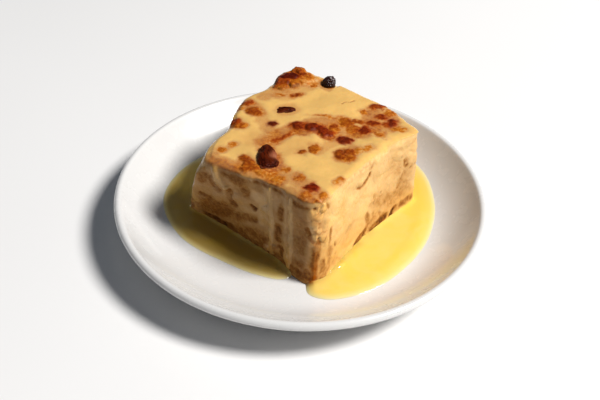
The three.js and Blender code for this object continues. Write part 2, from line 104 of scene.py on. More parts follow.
# Browned crags of the top, painted in this order: x, y, length, width, height, how dark and how red the
# crust is, both from 0 to 1, and the turn in degrees where it isn't the usual one.
CRAG_TURN = -51
CRAGS = (
    (32.4, 34.4, 22, 16, 2.6, 0.24, 0.2),
    (21, 34, 7, 5, 1.8, 0.5, 0.1, -40),
    (24.6, 36, 9, 6, 3, 0.62, 0.5, -30),
    (29.2, 35.6, 8.4, 6, 3.6, 0.98, 0.8, -40),
    (27, 30, 7, 5, 2.2, 0.44, 0.1),
    (36.8, 36, 8, 6, 3.8, 0.5, 0.1),
    (35.4, 31.4, 7.4, 3.4, 3.4, 0.72, 0.4, -70),
    (37, 26.6, 6, 4, 2.2, 0.3, 0.1, -60),
    (32.3, 22.8, 5.4, 4.3, 0.7, 0.5, 0.2),
    (18.7, 24.3, 3.7, 2.6, 0.6, 0.62, 0.1),
    (21.1, 22.5, 3.7, 2.8, 0.6, 0.66, 0.1),
    (15.7, 29.5, 4.3, 2.4, 0.5, 0.5, 0.2),
    (-5.6, 37.4, 5.4, 6.5, 0.9, 0.38, 0),
    (-0.4, 36.1, 5.8, 5.4, 1.2, 0.52, 0.6, -40),
    (-4.2, 31, 5.4, 4.3, 1.1, 0.5, 0.2),
    (-4.2, 28.4, 6.5, 5.4, 1.3, 0.6, 0.2),
    (-16.4, 26.8, 6.5, 5.8, 1.2, 0.5, 0.1),
    (-15.8, 31, 5.8, 5.4, 1.4, 0.62, 0.7, -40),
    (-5.3, 16, 4.5, 3.7, 0.9, 0.98, 0.5, -20),
    (-14.6, 6.6, 5.8, 3.7, 0.6, 0.46, 0.5, -30),
    (-9.6, 5.3, 9.1, 3, 0.8, 0.6, 0.6, -14),
    (0, 5.6, 7.6, 6, 1.3, 0.76, 0.5),
    (3.2, 3.4, 4.3, 4.3, 1.1, 0.68, 0.6, 0),
    (3.6, -0.4, 6.5, 6.5, 1.7, 0.9, 0.5),
    (5.4, -4, 6, 6, 1.5, 0.78, 0.9),
    (4.8, -8, 8.2, 6.9, 1.7, 0.74, 0.8),
    (9.8, -8, 4.8, 4.3, 0.9, 0.5, 0.1),
    (12.5, -6.4, 3, 2.8, 0.8, 0.7, 0.3),
    (14.8, 1.6, 8.6, 1.9, 0.5, 0.5, 0.1, -58),
    (18.8, -9.4, 7.6, 6.5, 1.1, 0.53, 0.05),
    (23, -13, 6, 3.7, 0.9, 0.6, 0.1),
    (16.4, -14.6, 6, 6.5, 0.9, 0.5, 0.2),
    (6.4, -17.8, 6.5, 6.3, 1.2, 0.84, 0.7),
    (8.8, -30.2, 5.4, 3.9, 0.6, 0.34, 0, -20),
    (4.6, -28.4, 6.9, 5.6, 1, 0.4, 0, -30),
    (-4.2, -27.7, 5.8, 5.4, 1.1, 0.56, 0.1),
    (0.3, -24.8, 5.4, 5.2, 1.1, 0.62, 0.2),
    (-4.3, -23.2, 5, 6.5, 1.2, 0.68, 0.1),
    (-8.2, -11, 3.9, 6.5, 0.9, 0.58, 0.05),
    (-13.6, -8.8, 4.1, 3.9, 0.8, 0.64, 0),
    (20, -19, 6, 7.1, 0.9, 0.74, 0.7),
    (26.2, -18.6, 6.9, 3.5, 0.9, 0.74, 0.5),
    (31, -10.2, 3.9, 3.9, 0.7, 0.5, 0.1),
    (38.4, -12.6, 8.2, 5, 1.3, 0.66, 0.5, -40),
    (38.6, -19.4, 6.5, 5, 1.1, 0.46, 0.1, -60),
    (33.8, -19.4, 5.4, 3.2, 1.1, 0.76, 0.6),
    (30.2, -24.2, 5.4, 4.8, 1.1, 0.6, 0.7),
    (33.3, -25.2, 3.7, 5.8, 1.3, 0.82, 0.7),
    (21.4, -26.8, 4.3, 3.2, 0.7, 0.5, 0.2),
    (31.2, -31, 8, 4.3, 0.9, 0.42, 0),
    (20.4, -30.6, 3.2, 2.8, 0.8, 0.2, 0, 0),
    (-30, 19, 4.3, 4.1, 0.6, 0.44, 0.1),
    (-36.1, 20.2, 5, 4.8, 0.7, 0.46, 0, 0),
    (-36.7, -5.4, 6.9, 4.3, 1.1, 0.36, 0, -50),
    (-34.8, -8.8, 4.8, 3.9, 0.9, 0.34, 0, -40),
    (-36.2, -0.8, 5.4, 4.8, 1.2, 0.52, 0.1),
    (-34.2, 7.4, 5.8, 5.8, 1.2, 0.56, 0.05),
    (-35.6, 3.6, 6, 6.3, 1.2, 0.62, 0.1),
    (-39, 0.8, 5.4, 3.9, 1.1, 0.64, 0.1, -60),
    (-27.6, -12.6, 4.3, 3.9, 0.7, 0.54, 0.1),
    (-35.6, -14, 5.4, 3.9, 0.9, 0.46, 0),
    (-28.4, -20.8, 3, 5.8, 0.7, 0.46, 0.3),
    (-18.2, -34, 3.7, 3.2, 0.8, 0.46, 0.1),
    (-21, -34.6, 3.2, 2.8, 0.7, 0.4, 0, 0),
    (-32, -36.2, 3.6, 4, 0.9, 0.42, 0),
    (-31.8, -29.8, 5.6, 6, 1.4, 0.76, 1),
    (-36.4, -30.6, 3.2, 3.4, 0.8, 0.4, 0.3),
    (-37.4, -37.4, 3.2, 3.2, 0.9, 0.62, 0.1, 0),
    (-41, -30.2, 5.4, 4.8, 0.9, 0.68, 0.3),
    (-40.6, -36, 5.4, 3.7, 0.9, 0.52, 0.1, -40),
)

COAT = 0.95
COAT_UNEVENNESS = 0.2
COAT_RIPPLE = 7
# Runs of custard down the sides: side, place along it, half width, height of the lower end.
RUNS = (
    ("right", -22, 6, 37),
    ("right", -4, 7, 40),
    ("right", 11, 5, 34),
    ("right", 27, 6, 38),
    ("left", -22.3, 2.2, 10.5),
    ("left", -12, 2.2, 9.5),
    ("left", 15, 3, 32),
    ("far right", -20, 6, 34),
    ("far right", 1, 3.5, 17),
    ("far right", 24, 7, 36),
    ("far left", -22, 5, 28),
    ("far left", 6, 7, 33),
)
SPILL = 3
SPILL_UNEVENNESS = 1.5
SIDE_SLOPES = (0.75, 0.45)

# The pool's outer edge: azimuth in degrees and radius, from the front corner round to left of it.
POOL_EDGE = (
    (-83, 43), (-85.5, 50), (-84.5, 56), (-77, 59.8), (-66, 61), (-50, 61.2), (-34, 61.4), (-10, 64.8),
    (10, 69), (30, 72.8), (52, 72), (90, 68), (130, 67.5), (158, 69.5), (178, 68.8), (200, 60.5),
    (224, 51.3), (245, 48.6), (260, 47.8), (266.5, 44.5), (268, 38),
)
POOL_RIM = 9
POOL_INSIDE = 22

# Raisins: x, y, height of the middle over the bread, half sizes and turn in degrees.
RAISINS = {
    "raisin_black": (39.4, 17.9, 1.6, (4, 3.6, 3.4), -51),
    "raisin_flat": (7.1, 18.6, 0.3, (4.8, 3.2, 2.1), -51),
    "raisin_dark": (-27.8, -1.2, 0.9, (8.4, 4.3, 3.1), 50),
}

# ---- Looks only ----

PLATE_SIDES = 288
TOP_CELLS = 168
SIDE_ROWS = 84
POOL_COLUMNS = 400
POOL_ROWS = 104
POOL_MARGIN_ROWS = 24

CRAG_BLUR = 2.2
CRAG_HAZE = 3
CRUMB_HEIGHT = 0.2
CRISP_HEIGHT = 0.34
PORE_SPACING = 2.7
PORE_DEPTH = 0.3

PAINTED_SHADE_FROM = -7.9  # distance round the block from which the left face is painted darker as shade
PAINTED_SHADE_BLEND = 6
# On the left face and on the other sides: share of the marks, tone of the crumb and film of custard.
# The left face's fainter marks, darker crumb and thinner film are partly browner crumb and partly painted
# shade.
MARK_SHARES = (0.56, 1)
SIDE_TONES = (0.27, 0.05)
SIDE_FILMS = (0.42, 0.74)

MENISCUS = 0.32  # how softly the custard over the top ends at a crag
CRAG_FILM = 0.04
SIDE_COAT = 0.7
RUN_SLOPE = 0.16
COAT_DEPTH = 0.35  # how far the custard over the top reaches into the bread

POOL_LIFT = 0.05
POOL_THICKNESS = 2.05
POOL_TOP = WELL_Z + POOL_THICKNESS
POOL_END = -85.9  # azimuth of the pool's thin end at the front corner
POOL_END_RISE = 4.5
MENISCUS_RISE = 0.9
FRONT_CORNER = (11, -47.5)
DROP_AT = (19.2, -38.6)
DROP_SIZE = (2.2, 0.85, 0.8)

# How much of a raisin's skin is under custard, how warm a brown it is, and how much the raisin is bent.
RAISIN_SKINS = {"raisin_black": (0, 0, 0), "raisin_flat": (0.25, 1, 0.2), "raisin_dark": (0.5, 1, 0.6)}

# Where the custard over the top is thin: share, radius, how dark the bread is, then points x, y.
THIN_PLACES = (
    (0.6, 6, 0.42, ((-18, 9), (-10, 8), (-4, 6))),
    (0.45, 4.5, 0.36, ((-10, 12), (-8, 20), (-3, 26))),
    (0.7, 5.5, 0.5, ((-2, 2), (4, -3), (4, -10))),
    (0.6, 5, 0.42, ((6, 3), (12, -3), (17, -6))),
    (0.5, 5, 0.4, ((10, -9), (15, -12), (14, -17))),
    (0.45, 4.5, 0.38, ((-8, -14), (0, -15), (8, -16))),
    (0.5, 5.5, 0.42, ((-6, -25), (3, -25))),
    (0.6, 6, 0.45, ((16, -20), (24, -20), (32, -14))),
    (0.5, 5, 0.42, ((22, -26), (30, -27), (36, -22))),
    (0.5, 5, 0.38, ((9, 34), (17, 32), (24, 31))),
    (0.4, 4.5, 0.36, ((14, 28), (20, 24), (26, 24), (32, 23))),
    (0.45, 4, 0.38, ((27, 31), (36, 29))),
    (0.5, 4, 0.42, ((-42, 19), (-42, 8), (-41, -2), (-40, -14), (-40, -26), (-39, -38))),
    (0.5, 5.5, 0.42, ((-36, -13), (-31, -19), (-33, -28), (-34, -36))),
    (0.35, 3.5, 0.34, ((-36, 19), (-30, 19))),
    (0.4, 3, 0.5, ((-44, 17), (-43, 10), (-42.6, 5))),
    (0.6, 5, 0.45, ((-23, 4), (-26, -4), (-30, -9))),
    (0.5, 4, 0.42, ((-38, 6), (-35, -2), (-36, -8))),
    (0.3, 3, 0.34, ((-17, -35), (-24, -36))),
    (0.35, 3.5, 0.34, ((17, -37), (25, -38))),
    (0.5, 4, 0.45, ((36, 16), (38, 21))),
    (0.35, 6.5, 0.4, ((6, 18), (9, 18))),
    (0.5, 5.5, 0.4, ((-3, 29), (-1, 35))),
    (0.5, 4.5, 0.4, ((-16, 28), (-16, 31))),
    (0.28, 9, 0.36, ((-20, 14), (-18, 0), (-11, -6))),
    (0.8, 0.5, 0.6, ((28.5, 1.6), (31, 1.4), (33, -0.4), (35, -1))),
)

# Marks on the sides: how dark, radius, relief, then points. The first number of a point is the distance
# round the block from the front corner, above 0 on the right face and below 0 on the left one. The second
# is the height.
MARKS = (
    (0.66, 1.6, -0.35, ((45.8, 49.3), (45.8, 46), (40.8, 45.6), (34.2, 44.6), (32.5, 42.2))),
    (0.62, 1.5, -0.3, ((32.5, 42.2), (36.2, 40), (40.3, 41), (43.5, 42.6))),
    (0.70, 0.9, -0.3, ((43.9, 42.6), (43.2, 41.6))),
    (0.30, 2.6, 0, ((58, 49), (62.8, 46.9), (66, 46))),
    (0.70, 2.4, -0.2, ((68.4, 36.6), (68.4, 34.5))),
    (0.46, 1.8, -0.2, ((67.8, 30), (65.5, 27), (63, 24))),
    (0.34, 4, 0, ((70, 31), (66, 26))),
    (0.40, 1.6, -0.2, ((46, 28), (46.6, 26))),
    (0.24, 4, 0, ((61, 40), (64, 34))),
    (0.32, 5.5, 0, ((48, 24), (57.3, 19.5), (67.8, 19))),
    (0.52, 2, -0.3, ((40, 20.5), (41.7, 14.5), (37.4, 11.5), (37.3, 8))),
    (0.44, 1.7, -0.2, ((45, 19), (44, 14), (41.5, 11))),
    # The marks along the foot of the right face are partly browned crust and partly painted shade where the
    # bread meets the pool.
    (0.78, 2.2, -0.4, ((30.7, 9), (34, 10), (37, 10.6))),
    (0.86, 2.6, -0.4, ((43.6, 9.6), (49, 11), (53.6, 11))),
    (0.46, 2.6, -0.2, ((50, 15), (53.5, 11.5))),
    (0.86, 2.1, -0.4, ((58.4, 9.6), (59.8, 11))),
    (0.55, 2.6, -0.2, ((59.8, 11), (66, 11.6), (72.9, 12))),
    (0.34, 4, 0, ((43, 13.4), (49, 15))),
    (0.45, 2.4, -0.2, ((10.5, 22), (11, 16), (10, 12))),
    (0.62, 1.2, -0.4, ((14.7, 23), (15.4, 21.5))),
    (0.42, 1.1, -0.3, ((10.6, 33), (10, 27), (10.5, 21.5))),
    (0.34, 3.4, 0, ((15, 13), (18.5, 9))),
    (0.22, 2.4, 0, ((23, 17), (27.5, 23.4))),
    (0.50, 1.4, -0.3, ((-6.5, 37), (-3.7, 32.4), (-0.6, 29.6))),
    (0.44, 2.8, 0, ((2.4, 31), (1, 25))),
    (0.62, 4.4, 0, ((0.6, 25), (-0.6, 17), (-2, 8))),
    (0.76, 2.8, 0, ((-4.4, 12), (-3.4, 8))),
    (0.56, 3.6, 0, ((5.4, 17), (6.6, 11), (6.6, 8))),
    (0.42, 1.6, 0, ((2.3, 35.2), (3.5, 33))),
    (0.55, 1.2, -0.3, ((-2.3, 48.2), (-2.1, 46.2))),
    (0.55, 1.2, -0.3, ((0, 50.4), (1, 49.8))),
    (0.46, 1.2, -0.2, ((6.4, 48.5), (7.6, 46))),
    (0.46, 2.6, -0.3, ((-24.6, 40), (-24, 35))),
    (0.60, 2.8, -0.3, ((-25, 28), (-23.4, 22))),
    (0.80, 2.2, -0.4, ((-20.6, 17), (-20, 13.6))),
    (0.50, 2.6, -0.2, ((-12, 48.4), (-14.5, 49.8))),
    (0.42, 2.2, -0.1, ((-7, 48), (-22, 49.2), (-36, 49.6), (-46, 49.2))),
    (0.34, 3, -0.1, ((-9.2, 15), (-13.3, 14))),
    (0.90, 1.5, -0.6, ((-43.4, 32.6), (-41.2, 31.6))),
    (0.40, 3.4, -0.2, ((-48, 21.5), (-44, 24.5), (-40, 25))),
    (0.44, 2.2, -0.3, ((-57.5, 37), (-56.2, 32), (-53, 28.6))),
    (0.36, 2.2, -0.2, ((-50.5, 42), (-48, 39), (-43, 39))),
    (0.46, 3.2, 0, ((-64, 48.4), (-59, 47), (-54, 45.5))),
    (0.46, 1.7, -0.4, ((-69.5, 42.5), (-66.5, 38.4), (-62.8, 34.4))),
    (0.36, 2.4, -0.2, ((-73, 41), (-72.6, 37))),
    (0.42, 2, -0.3, ((-70.5, 26.6), (-67, 25.4), (-66.6, 22))),
    (0.50, 6.5, 0, ((-66, 19), (-58, 21))),
    (0.52, 4.4, 0, ((-31.4, 15), (-36, 14.6), (-44, 13))),
    # The marks along the foot of the left face are partly browned crust and partly painted shade where the
    # bread meets the pool.
    (0.55, 2.4, -0.3, ((-5, 9.4), (-16, 10.2), (-30, 9.8), (-42, 9.8), (-53, 11))),
    (0.90, 2.6, -0.4, ((-55, 9.4), (-60, 11.4), (-66, 10.2))),
)
# Pale lumps of bread on the sides: distance round, height, radius, relief.
LUMPS = (
    (3.7, 47.8, 2.5, 0.9),
    (-3.4, 44.5, 3.6, 0.6),
    (-2, 38.6, 3, 0.6),
    (1.4, 34.4, 2.8, 0.5),
    (-3, 31, 3.4, 0.5),
    (5.5, 31.6, 2.8, 0.9),
    (7.5, 39.6, 2.4, 0.6),
    (-28.9, 11.6, 2, 0.8),
    (-24.3, 14.8, 1.7, 0.8),
    (-72, 13, 3.4, 1.2),
    (-69.5, 24.5, 1.8, 0.7),
    (-52, 34, 3.4, 0.7),
    (-62, 30, 3, 0.6),
    (-34, 34, 3, 0.5),
)
# Where the crumb is open and rough: radius, then points round and up.
CRUMBLY = (
    (4.4, ((3, 48), (-1.5, 41), (2, 35), (3.5, 30))),
    (3.5, ((-36, 51), (-48, 50.5))),
    (3, ((30, 51), (45, 50))),
)
# Custard that has run down in thin films: how thick, radius, relief, then points.
FILMS = (
    (0.62, 1.3, 1.0, ((-71, 47.6), (-67.8, 45.2), (-64.2, 41.9), (-60, 38.4))),
    (0.9, 1.3, 0.6, ((-35, 47), (-32.1, 38.5), (-29.8, 30), (-27.5, 18), (-26.2, 10))),
    (0.95, 1.4, 0.6, ((-17.6, 48), (-17, 40), (-16, 28.7), (-16, 18), (-15.6, 10))),
    # This run along the far left edge is partly custard and partly a painted reflection along the rim.
    (0.7, 1.6, 0.2, ((-79.8, 42), (-79.3, 32), (-77, 25), (-73, 19))),
    (0.4, 3.0, 0, ((-44, 40), (-37, 39), (-35, 26))),
    (0.5, 7, 0, ((16, 40), (24, 34), (33, 32))),
)
# Syrup cooked into the front corner: how much, radius, then points.
SYRUPY = (
    (0.6, 1.6, ((-4.2, 33), (-0.8, 29.4))),
    (0.35, 2.4, ((-0.4, 27), (-0.2, 18))),
    (0.7, 2.8, ((0, 17), (0.4, 10))),
    (1.0, 3.4, ((0.4, 10), (0.6, 6))),
    (0.16, 5, ((-7, 46), (-7, 12))),
    (0.3, 2.4, ((-1, 42), (3, 39))),
)


# ---- Shape functions ----


def smooth(t):
    s = np.clip(t, 0, 1)
    return s * s * (3 - 2 * s)


def mix(a, b, t):
    return a + (b - a) * t


def hill(distance, width):
    """A smooth hump: 1 at no distance, and nearly 0 from twice the width on."""
    return np.exp(-((distance / width) ** 2))


def turned(x, y, angle):
    """x and y measured along axes turned by an angle in radians."""
    c, s = math.cos(angle), math.sin(angle)
    return x * c + y * s, y * c - x * s


def hash01(x, y, z, seed):
    """The same number from 0 to 1 each time for a whole-numbered place."""
    x, y, z = (np.asarray(a, np.int64) & 0xFFFFFFFF for a in (x, y, z))
    h = (x * 374761393) ^ (y * 668265263) ^ (z * 1274126177) ^ (seed * 1103515245)
    h &= 0xFFFFFFFF
    h = ((h ^ (h >> 13)) * 1274126177) & 0xFFFFFFFF
    return (h ^ (h >> 16)) / 4294967296.0


def noise(p, size, seed):
    """Smooth noise from -1 to 1 with lumps of the given size."""
    at = p / size
    low = np.floor(at)
    part = smooth(at - low)
    low = low.astype(np.int64)
    total = 0
    for corner in range(8):
        step = np.array([corner & 1, (corner >> 1) & 1, corner >> 2])
        weight = np.prod(np.where(step, part, 1 - part), axis=1)
        total = total + weight * hash01(*(low + step).T, seed)
    return 2 * total - 1


def rough_noise(p, size, seed, octaves=3):
    """Noise with finer and fainter noise on it."""
    shares = [0.55**i for i in range(octaves)]
    layers = [s * noise(p, size / 2**i, seed + i) for i, s in enumerate(shares)]
    return sum(layers) / sum(shares)


def noises(kind, p, size, seeds):
    """Noise of a kind along as many axes as there are seeds."""
    return np.column_stack([kind(p, size, seed) for seed in seeds])


def cells(p, size, seed=1):
    """Distances to the nearest two seeded points, and the nearest one's own number from 0 to 1."""
    at = p / size
    low = np.floor(at).astype(np.int64)
    nearest = np.full(len(p), np.inf)
    second = np.full(len(p), np.inf)
    own = np.zeros(len(p))
    for cell in range(27):
        corner = low + np.array([cell % 3, cell // 3 % 3, cell // 9]) - 1
        jitter = np.stack([hash01(*corner.T, seed + k) for k in range(3)], axis=1)
        away = np.linalg.norm(corner + jitter - at, axis=1)
        second = np.minimum(second, np.maximum(nearest, away))
        own = np.where(away < nearest, hash01(*corner.T, seed + 7), own)
        nearest = np.minimum(nearest, away)
    return nearest, second, own


def spline(points, t):
    """A curve through the points at t from 0 to 1."""
    points = np.array(points, float)
    last = len(points) - 1
    points = np.vstack([2 * points[0] - points[1], points, 2 * points[-1] - points[-2]])
    at = np.asarray(t, float) * last
    i = np.minimum(np.floor(at).astype(int), last)
    w = (at - i)[:, None]
    p0, p1, p2, p3 = points[i], points[i + 1], points[i + 2], points[np.minimum(i + 3, last + 2)]
    v0, v1 = (p2 - p0) / 2, (p3 - p1) / 2
    return (2 * p1 - 2 * p2 + v0 + v1) * w**3 + (-3 * p1 + 3 * p2 - 2 * v0 - v1) * w**2 + v0 * w + p1


def on_plan(edges, u, v):
    """Places at u, v on a plan bounded by four edges."""
    right, far_right, far_left, left = edges
    uu, vv = u[:, None], v[:, None]
    place = spline(right, u) * (1 - vv) + spline(far_left, u) * vv
    place += spline(left, v) * (1 - uu) + spline(far_right, v) * uu
    for corner, weight in (
        (right[0], (1 - uu) * (1 - vv)),
        (right[-1], uu * (1 - vv)),
        (far_left[0], (1 - uu) * vv),
        (far_left[-1], uu * vv),
    ):
        place -= np.array(corner, float) * weight
    return place


def blend(corners, u, v):
    front, right, back, left = corners
    return mix(mix(front, right, u), mix(left, back, u), v)


def rounding(radius, away):
    return CORNER_CUT * radius * np.maximum(0, 1 - away / radius) ** 2


def shortened(place, by):
    length = np.linalg.norm(place, axis=1)
    return place * ((length - by) / length)[:, None]


def block_points(u, v, t):
    """Points of the smooth block: u, v on its plan, t from 0 on the top to 1 at the foot."""
    tt = t[:, None]
    place = mix(on_plan(TOP_EDGES, u, v), on_plan(FOOT_EDGES, u, v), tt)
    swell = np.sin(np.pi * t**BULGE_RISE)
    for axis in range(2):
        place[:, axis] += swell * blend([c[axis] for c in CORNER_BULGES], u, v**BULGE_SPREAD)
    from_corner = PUDDING_SIDE * np.hypot(np.minimum(u, 1 - u), np.minimum(v, 1 - v))
    front, right, back, left = CORNER_RADII
    radius = np.where(v < 0.5, np.where(u < 0.5, front, right), np.where(u < 0.5, left, back))
    top = blend(TOP_HEIGHTS, u, v)
    from_side = PUDDING_SIDE * np.minimum(np.minimum(u, 1 - u), np.minimum(v, 1 - v))
    from_edge = np.where(t > 0, t * (top - BASE_Z), from_side)
    eased = rounding(blend(EDGE_RADII, u, v), from_edge) * math.sqrt(0.5)
    place = shortened(place, np.hypot(rounding(radius, from_corner), eased))
    return np.column_stack([place, mix(top, BASE_Z, t) - eased])


def crags(x, y):
    """Height of the crags over the top, how bare each place is, and how dark and red the crust is there."""
    height, bare, dark, red, near_dark = np.zeros((5, len(x)))
    for cx, cy, length, width, high, tone, redness, *own_turn in CRAGS:
        turn = own_turn[0] if own_turn else CRAG_TURN
        lengthwise, across = turned(x - cx, y - cy, math.radians(turn))
        out = (lengthwise / (length / 2)) ** 2 + (across / (width / 2)) ** 2
        height = np.maximum(height, high * smooth(np.maximum(0, 1 - out / CRAG_FOOT) * CRAG_STEEPNESS))
        away = (np.sqrt(out) - 1) * min(length, width) / 2
        paint = smooth(0.6 - away / CRAG_BLUR)
        near = smooth(0.9 - away / CRAG_HAZE)
        bare = np.maximum(bare, np.maximum(paint, 0.42 * near))
        dark = mix(dark, tone, paint)
        near_dark = np.maximum(near_dark, tone * near)
        red = mix(red, redness, np.maximum(paint, 0.5 * near))
    return height, bare, np.maximum(dark, 0.7 * near_dark), red


def thin_places(x, y):
    """How thin the custard over the top is, from 0 to 1, and how dark the bread under it is."""
    thin, dark = np.zeros((2, len(x)))
    for share, radius, tone, points in THIN_PLACES:
        near = near_line(x, y, points, radius / 1.4, 1.7)
        thin = 1 - (1 - thin) * (1 - share * near)
        dark = np.maximum(dark, tone * near)
    return thin, dark


def unit_sums(vectors, quads, count):
    """The quads' vectors added up at each of their corners, and made one unit long."""
    total = np.zeros((count, 3))
    for k in range(4):
        for axis in range(3):
            total[:, axis] += np.bincount(quads[:, k], vectors[:, axis], count)
    return total / np.maximum(np.linalg.norm(total, axis=1), 1e-9)[:, None]


def normals_of(points, quads):
    a, b, c, d = (points[quads[:, k]] for k in range(4))
    return unit_sums(np.cross(c - a, d - b), quads, len(points))


def softened(normals, quads, times):
    """Normals averaged with those of their neighbours, so that a thick coat doesn't fold in a crease."""
    for _ in range(times):
        normals = unit_sums(normals[quads].mean(axis=1), quads, len(normals))
    return normals


def to_plate(p):
    """From the pudding's own frame to the plate's."""
    x, y, z = p.T
    x, y = turned(x, y, -PUDDING_TURN)
    return np.column_stack([x + PUDDING_AT[0], y + PUDDING_AT[1], z])


def segment_distance(p, q, a, b):
    """Distance of points p, q from the segment a to b."""
    ax, ay = a
    dx, dy = b[0] - ax, b[1] - ay
    t = np.clip(((p - ax) * dx + (q - ay) * dy) / (dx * dx + dy * dy), 0, 1)
    return np.hypot(p - ax - t * dx, q - ay - t * dy)


def line_distance(p, q, points):
    """Distance of points p, q from a line through the given points."""
    return np.minimum.reduce([segment_distance(p, q, a, b) for a, b in zip(points, points[1:])])


def near_line(p, q, points, radius, reach=1.35):
    """1 in the middle of a line through the given points, falling to 0 at reach times its radius."""
    return smooth(reach - line_distance(p, q, points) / radius)


# ---- Meshes ----


def grid(a, b):
    """Every pair of the values in a and b, as two flat arrays."""
    return (values.ravel() for values in np.meshgrid(a, b, indexing="ij"))


def added(name, data):
    """A new object in the scene."""
    made = bpy.data.objects.new(name, data)
    bpy.context.scene.collection.objects.link(made)
    return made


def closed_shell(quads, count):
    """Faces over the upper points of a shell, over as many lower ones, and round the edge between them."""
    edges = np.concatenate([quads[:, [k, (k + 1) % 4]] for k in range(4)]).tolist()
    there = set(map(tuple, edges))
    wall = [(b, a, a + count, b + count) for a, b in edges if (b, a) not in there]
    return quads.tolist() + (quads[:, ::-1] + count).tolist() + wall


def new_piece(name, points, faces, node, slot, material, **attributes):
    """A smooth-shaded piece that stands for a node, from points in millimetres."""
    mesh = bpy.data.meshes.new(name)
    mesh.from_pydata((points * MM).tolist(), [], faces)
    mesh.polygons.foreach_set("use_smooth", np.ones(len(mesh.polygons), bool))
    for key, values in attributes.items():
        mesh.attributes.new(key, "FLOAT", "POINT").data.foreach_set("value", values.astype(np.float32))
    mesh.materials.append(material)
    mesh.update()
    piece = added(name, mesh)
    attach(piece, "root")
    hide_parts(node)
    return piece


# ---- Materials ----


class Shader:
    """A material with one Principled shader, and short ways to add nodes to it."""

    def __init__(self, name, **values):
        self.material = bpy.data.materials.new(name)
        self.material.use_nodes = True
        self.tree = self.material.node_tree
        self.tree.nodes.clear()
        out = self.tree.nodes.new("ShaderNodeOutputMaterial")
        self.main = self.tree.nodes.new("ShaderNodeBsdfPrincipled")
        self.tree.links.new(self.main.outputs[0], out.inputs[0])
        for key, value in values.items():
            self.main.inputs[key.replace("_", " ")].default_value = value

    def node(self, kind, **inputs):
        made = self.tree.nodes.new("ShaderNode" + kind)
        for key, value in inputs.items():
            self.put(made.inputs[key.replace("_", " ")], value)
        return made

    def put(self, socket, value):
        if isinstance(value, bpy.types.NodeSocket):
            self.tree.links.new(value, socket)
        else:
            socket.default_value = value

    def set(self, name, value):
        self.put(self.main.inputs[name], value)

    def attribute(self, name):
        made = self.node("Attribute")
        made.attribute_name = name
        return made.outputs["Fac"]

    def noise(self, size, detail=3.0, roughness=0.55, distortion=0.0):
        """Noise from 0 to 1 with lumps of a size in millimetres."""
        place = self.node("TexCoord").outputs["Object"]
        shape = {"Detail": detail, "Roughness": roughness, "Distortion": distortion}
        return self.node("TexNoise", Vector=place, Scale=1 / (size * MM), **shape).outputs[0]

    def math(self, operation, a, b, clamp=False):
        made = self.node("Math")
        made.operation = operation
        made.use_clamp = clamp
        self.put(made.inputs[0], a)
        self.put(made.inputs[1], b)
        return made.outputs[0]

    def times(self, a, b):
        return self.math("MULTIPLY", a, b)

    def plus(self, a, b, clamp=False):
        return self.math("ADD", a, b, clamp)

    def spread(self, value, low, high, to_low=0.0, to_high=1.0):
        """The value, with low to high spread smoothly over to_low to to_high."""
        made = self.node("MapRange", Value=value)
        made.interpolation_type = "SMOOTHSTEP"
        for i, v in enumerate((low, high, to_low, to_high)):
            made.inputs[i + 1].default_value = v
        return made.outputs[0]

    def ramp(self, value, stops):
        made = self.node("ValToRGB", Fac=value)
        elements = made.color_ramp.elements
        while len(elements) < len(stops):
            elements.new(1)
        for element, (at, color) in zip(elements, stops):
            element.position = at
            element.color = (*color, 1)
        return made.outputs[0]

    def mix(self, share, a, b, blend_type="MIX"):
        made = self.node("Mix")
        made.data_type = "RGBA"
        made.blend_type = blend_type
        self.put(made.inputs[0], share)
        for socket, value in ((made.inputs[6], a), (made.inputs[7], b)):
            self.put(socket, value if isinstance(value, bpy.types.NodeSocket) else (*value, 1))
        return made.outputs[2]

    def tinted(self, colour, tint):
        return self.mix(1.0, colour, tint, "MULTIPLY")

    def bump(self, height, distance, strength):
        """Relief from a height of 0 to 1 that stands for a distance in millimetres."""
        made = self.node("Bump", Height=height, Distance=distance * MM, Strength=strength)
        self.set("Normal", made.outputs[0])


CRUST = (
    (0.0, (0.84, 0.60, 0.29)),
    (0.2, (0.64, 0.36, 0.12)),
    (0.4, (0.52, 0.17, 0.012)),
    (0.58, (0.30, 0.066, 0.003)),
    (0.78, (0.17, 0.024, 0.002)),
    (1.0, (0.08, 0.009, 0.001)),
)
RED_CRUST = (
    (0.0, (0.80, 0.56, 0.29)),
    (0.2, (0.62, 0.31, 0.13)),
    (0.4, (0.47, 0.12, 0.025)),
    (0.58, (0.32, 0.036, 0.003)),
    (0.78, (0.18, 0.013, 0.001)),
    (1.0, (0.07, 0.004, 0.001)),
)
CRUMB = (
    (0.0, (0.84, 0.56, 0.25)),
    (0.25, (0.60, 0.31, 0.09)),
    (0.5, (0.36, 0.145, 0.025)),
    (0.75, (0.16, 0.052, 0.010)),
    (1.0, (0.045, 0.015, 0.004)),
)
POURED_CUSTARD = (0.755, 0.45, 0.132)
SOAKED_CUSTARD = (0.835, 0.52, 0.20)
STEEPED_CUSTARD = (0.74, 0.39, 0.095)
THIN_CUSTARD = (0.385, 0.16, 0.088)
SIDE_FILM = (0.55, 0.28, 0.10)
SYRUP = (0.29, 0.069, 0.001)
PORE_SHADE = (0.10, 0.04, 0.015)
PAINTED_SHADE_TINT = (0.475, 0.405, 0.295)
PAINTED_SHADE_SHARE = 0.78
POOL_BY_DEPTH = (
    (0.0, (0.72, 0.63, 0.40)),
    (0.2, (0.76, 0.62, 0.27)),
    (0.55, (0.79, 0.55, 0.125)),
    (1.0, (0.80, 0.53, 0.085)),
)
POOL_CUSTARD = (0.80, 0.56, 0.13)
POOL_SWIRL = (0.76, 0.57, 0.20)
POOL_SHADE_TINT = (0.52, 0.50, 0.52)
CHINA_WHITES = ((0.70, 0.69, 0.675), (0.72, 0.71, 0.695))
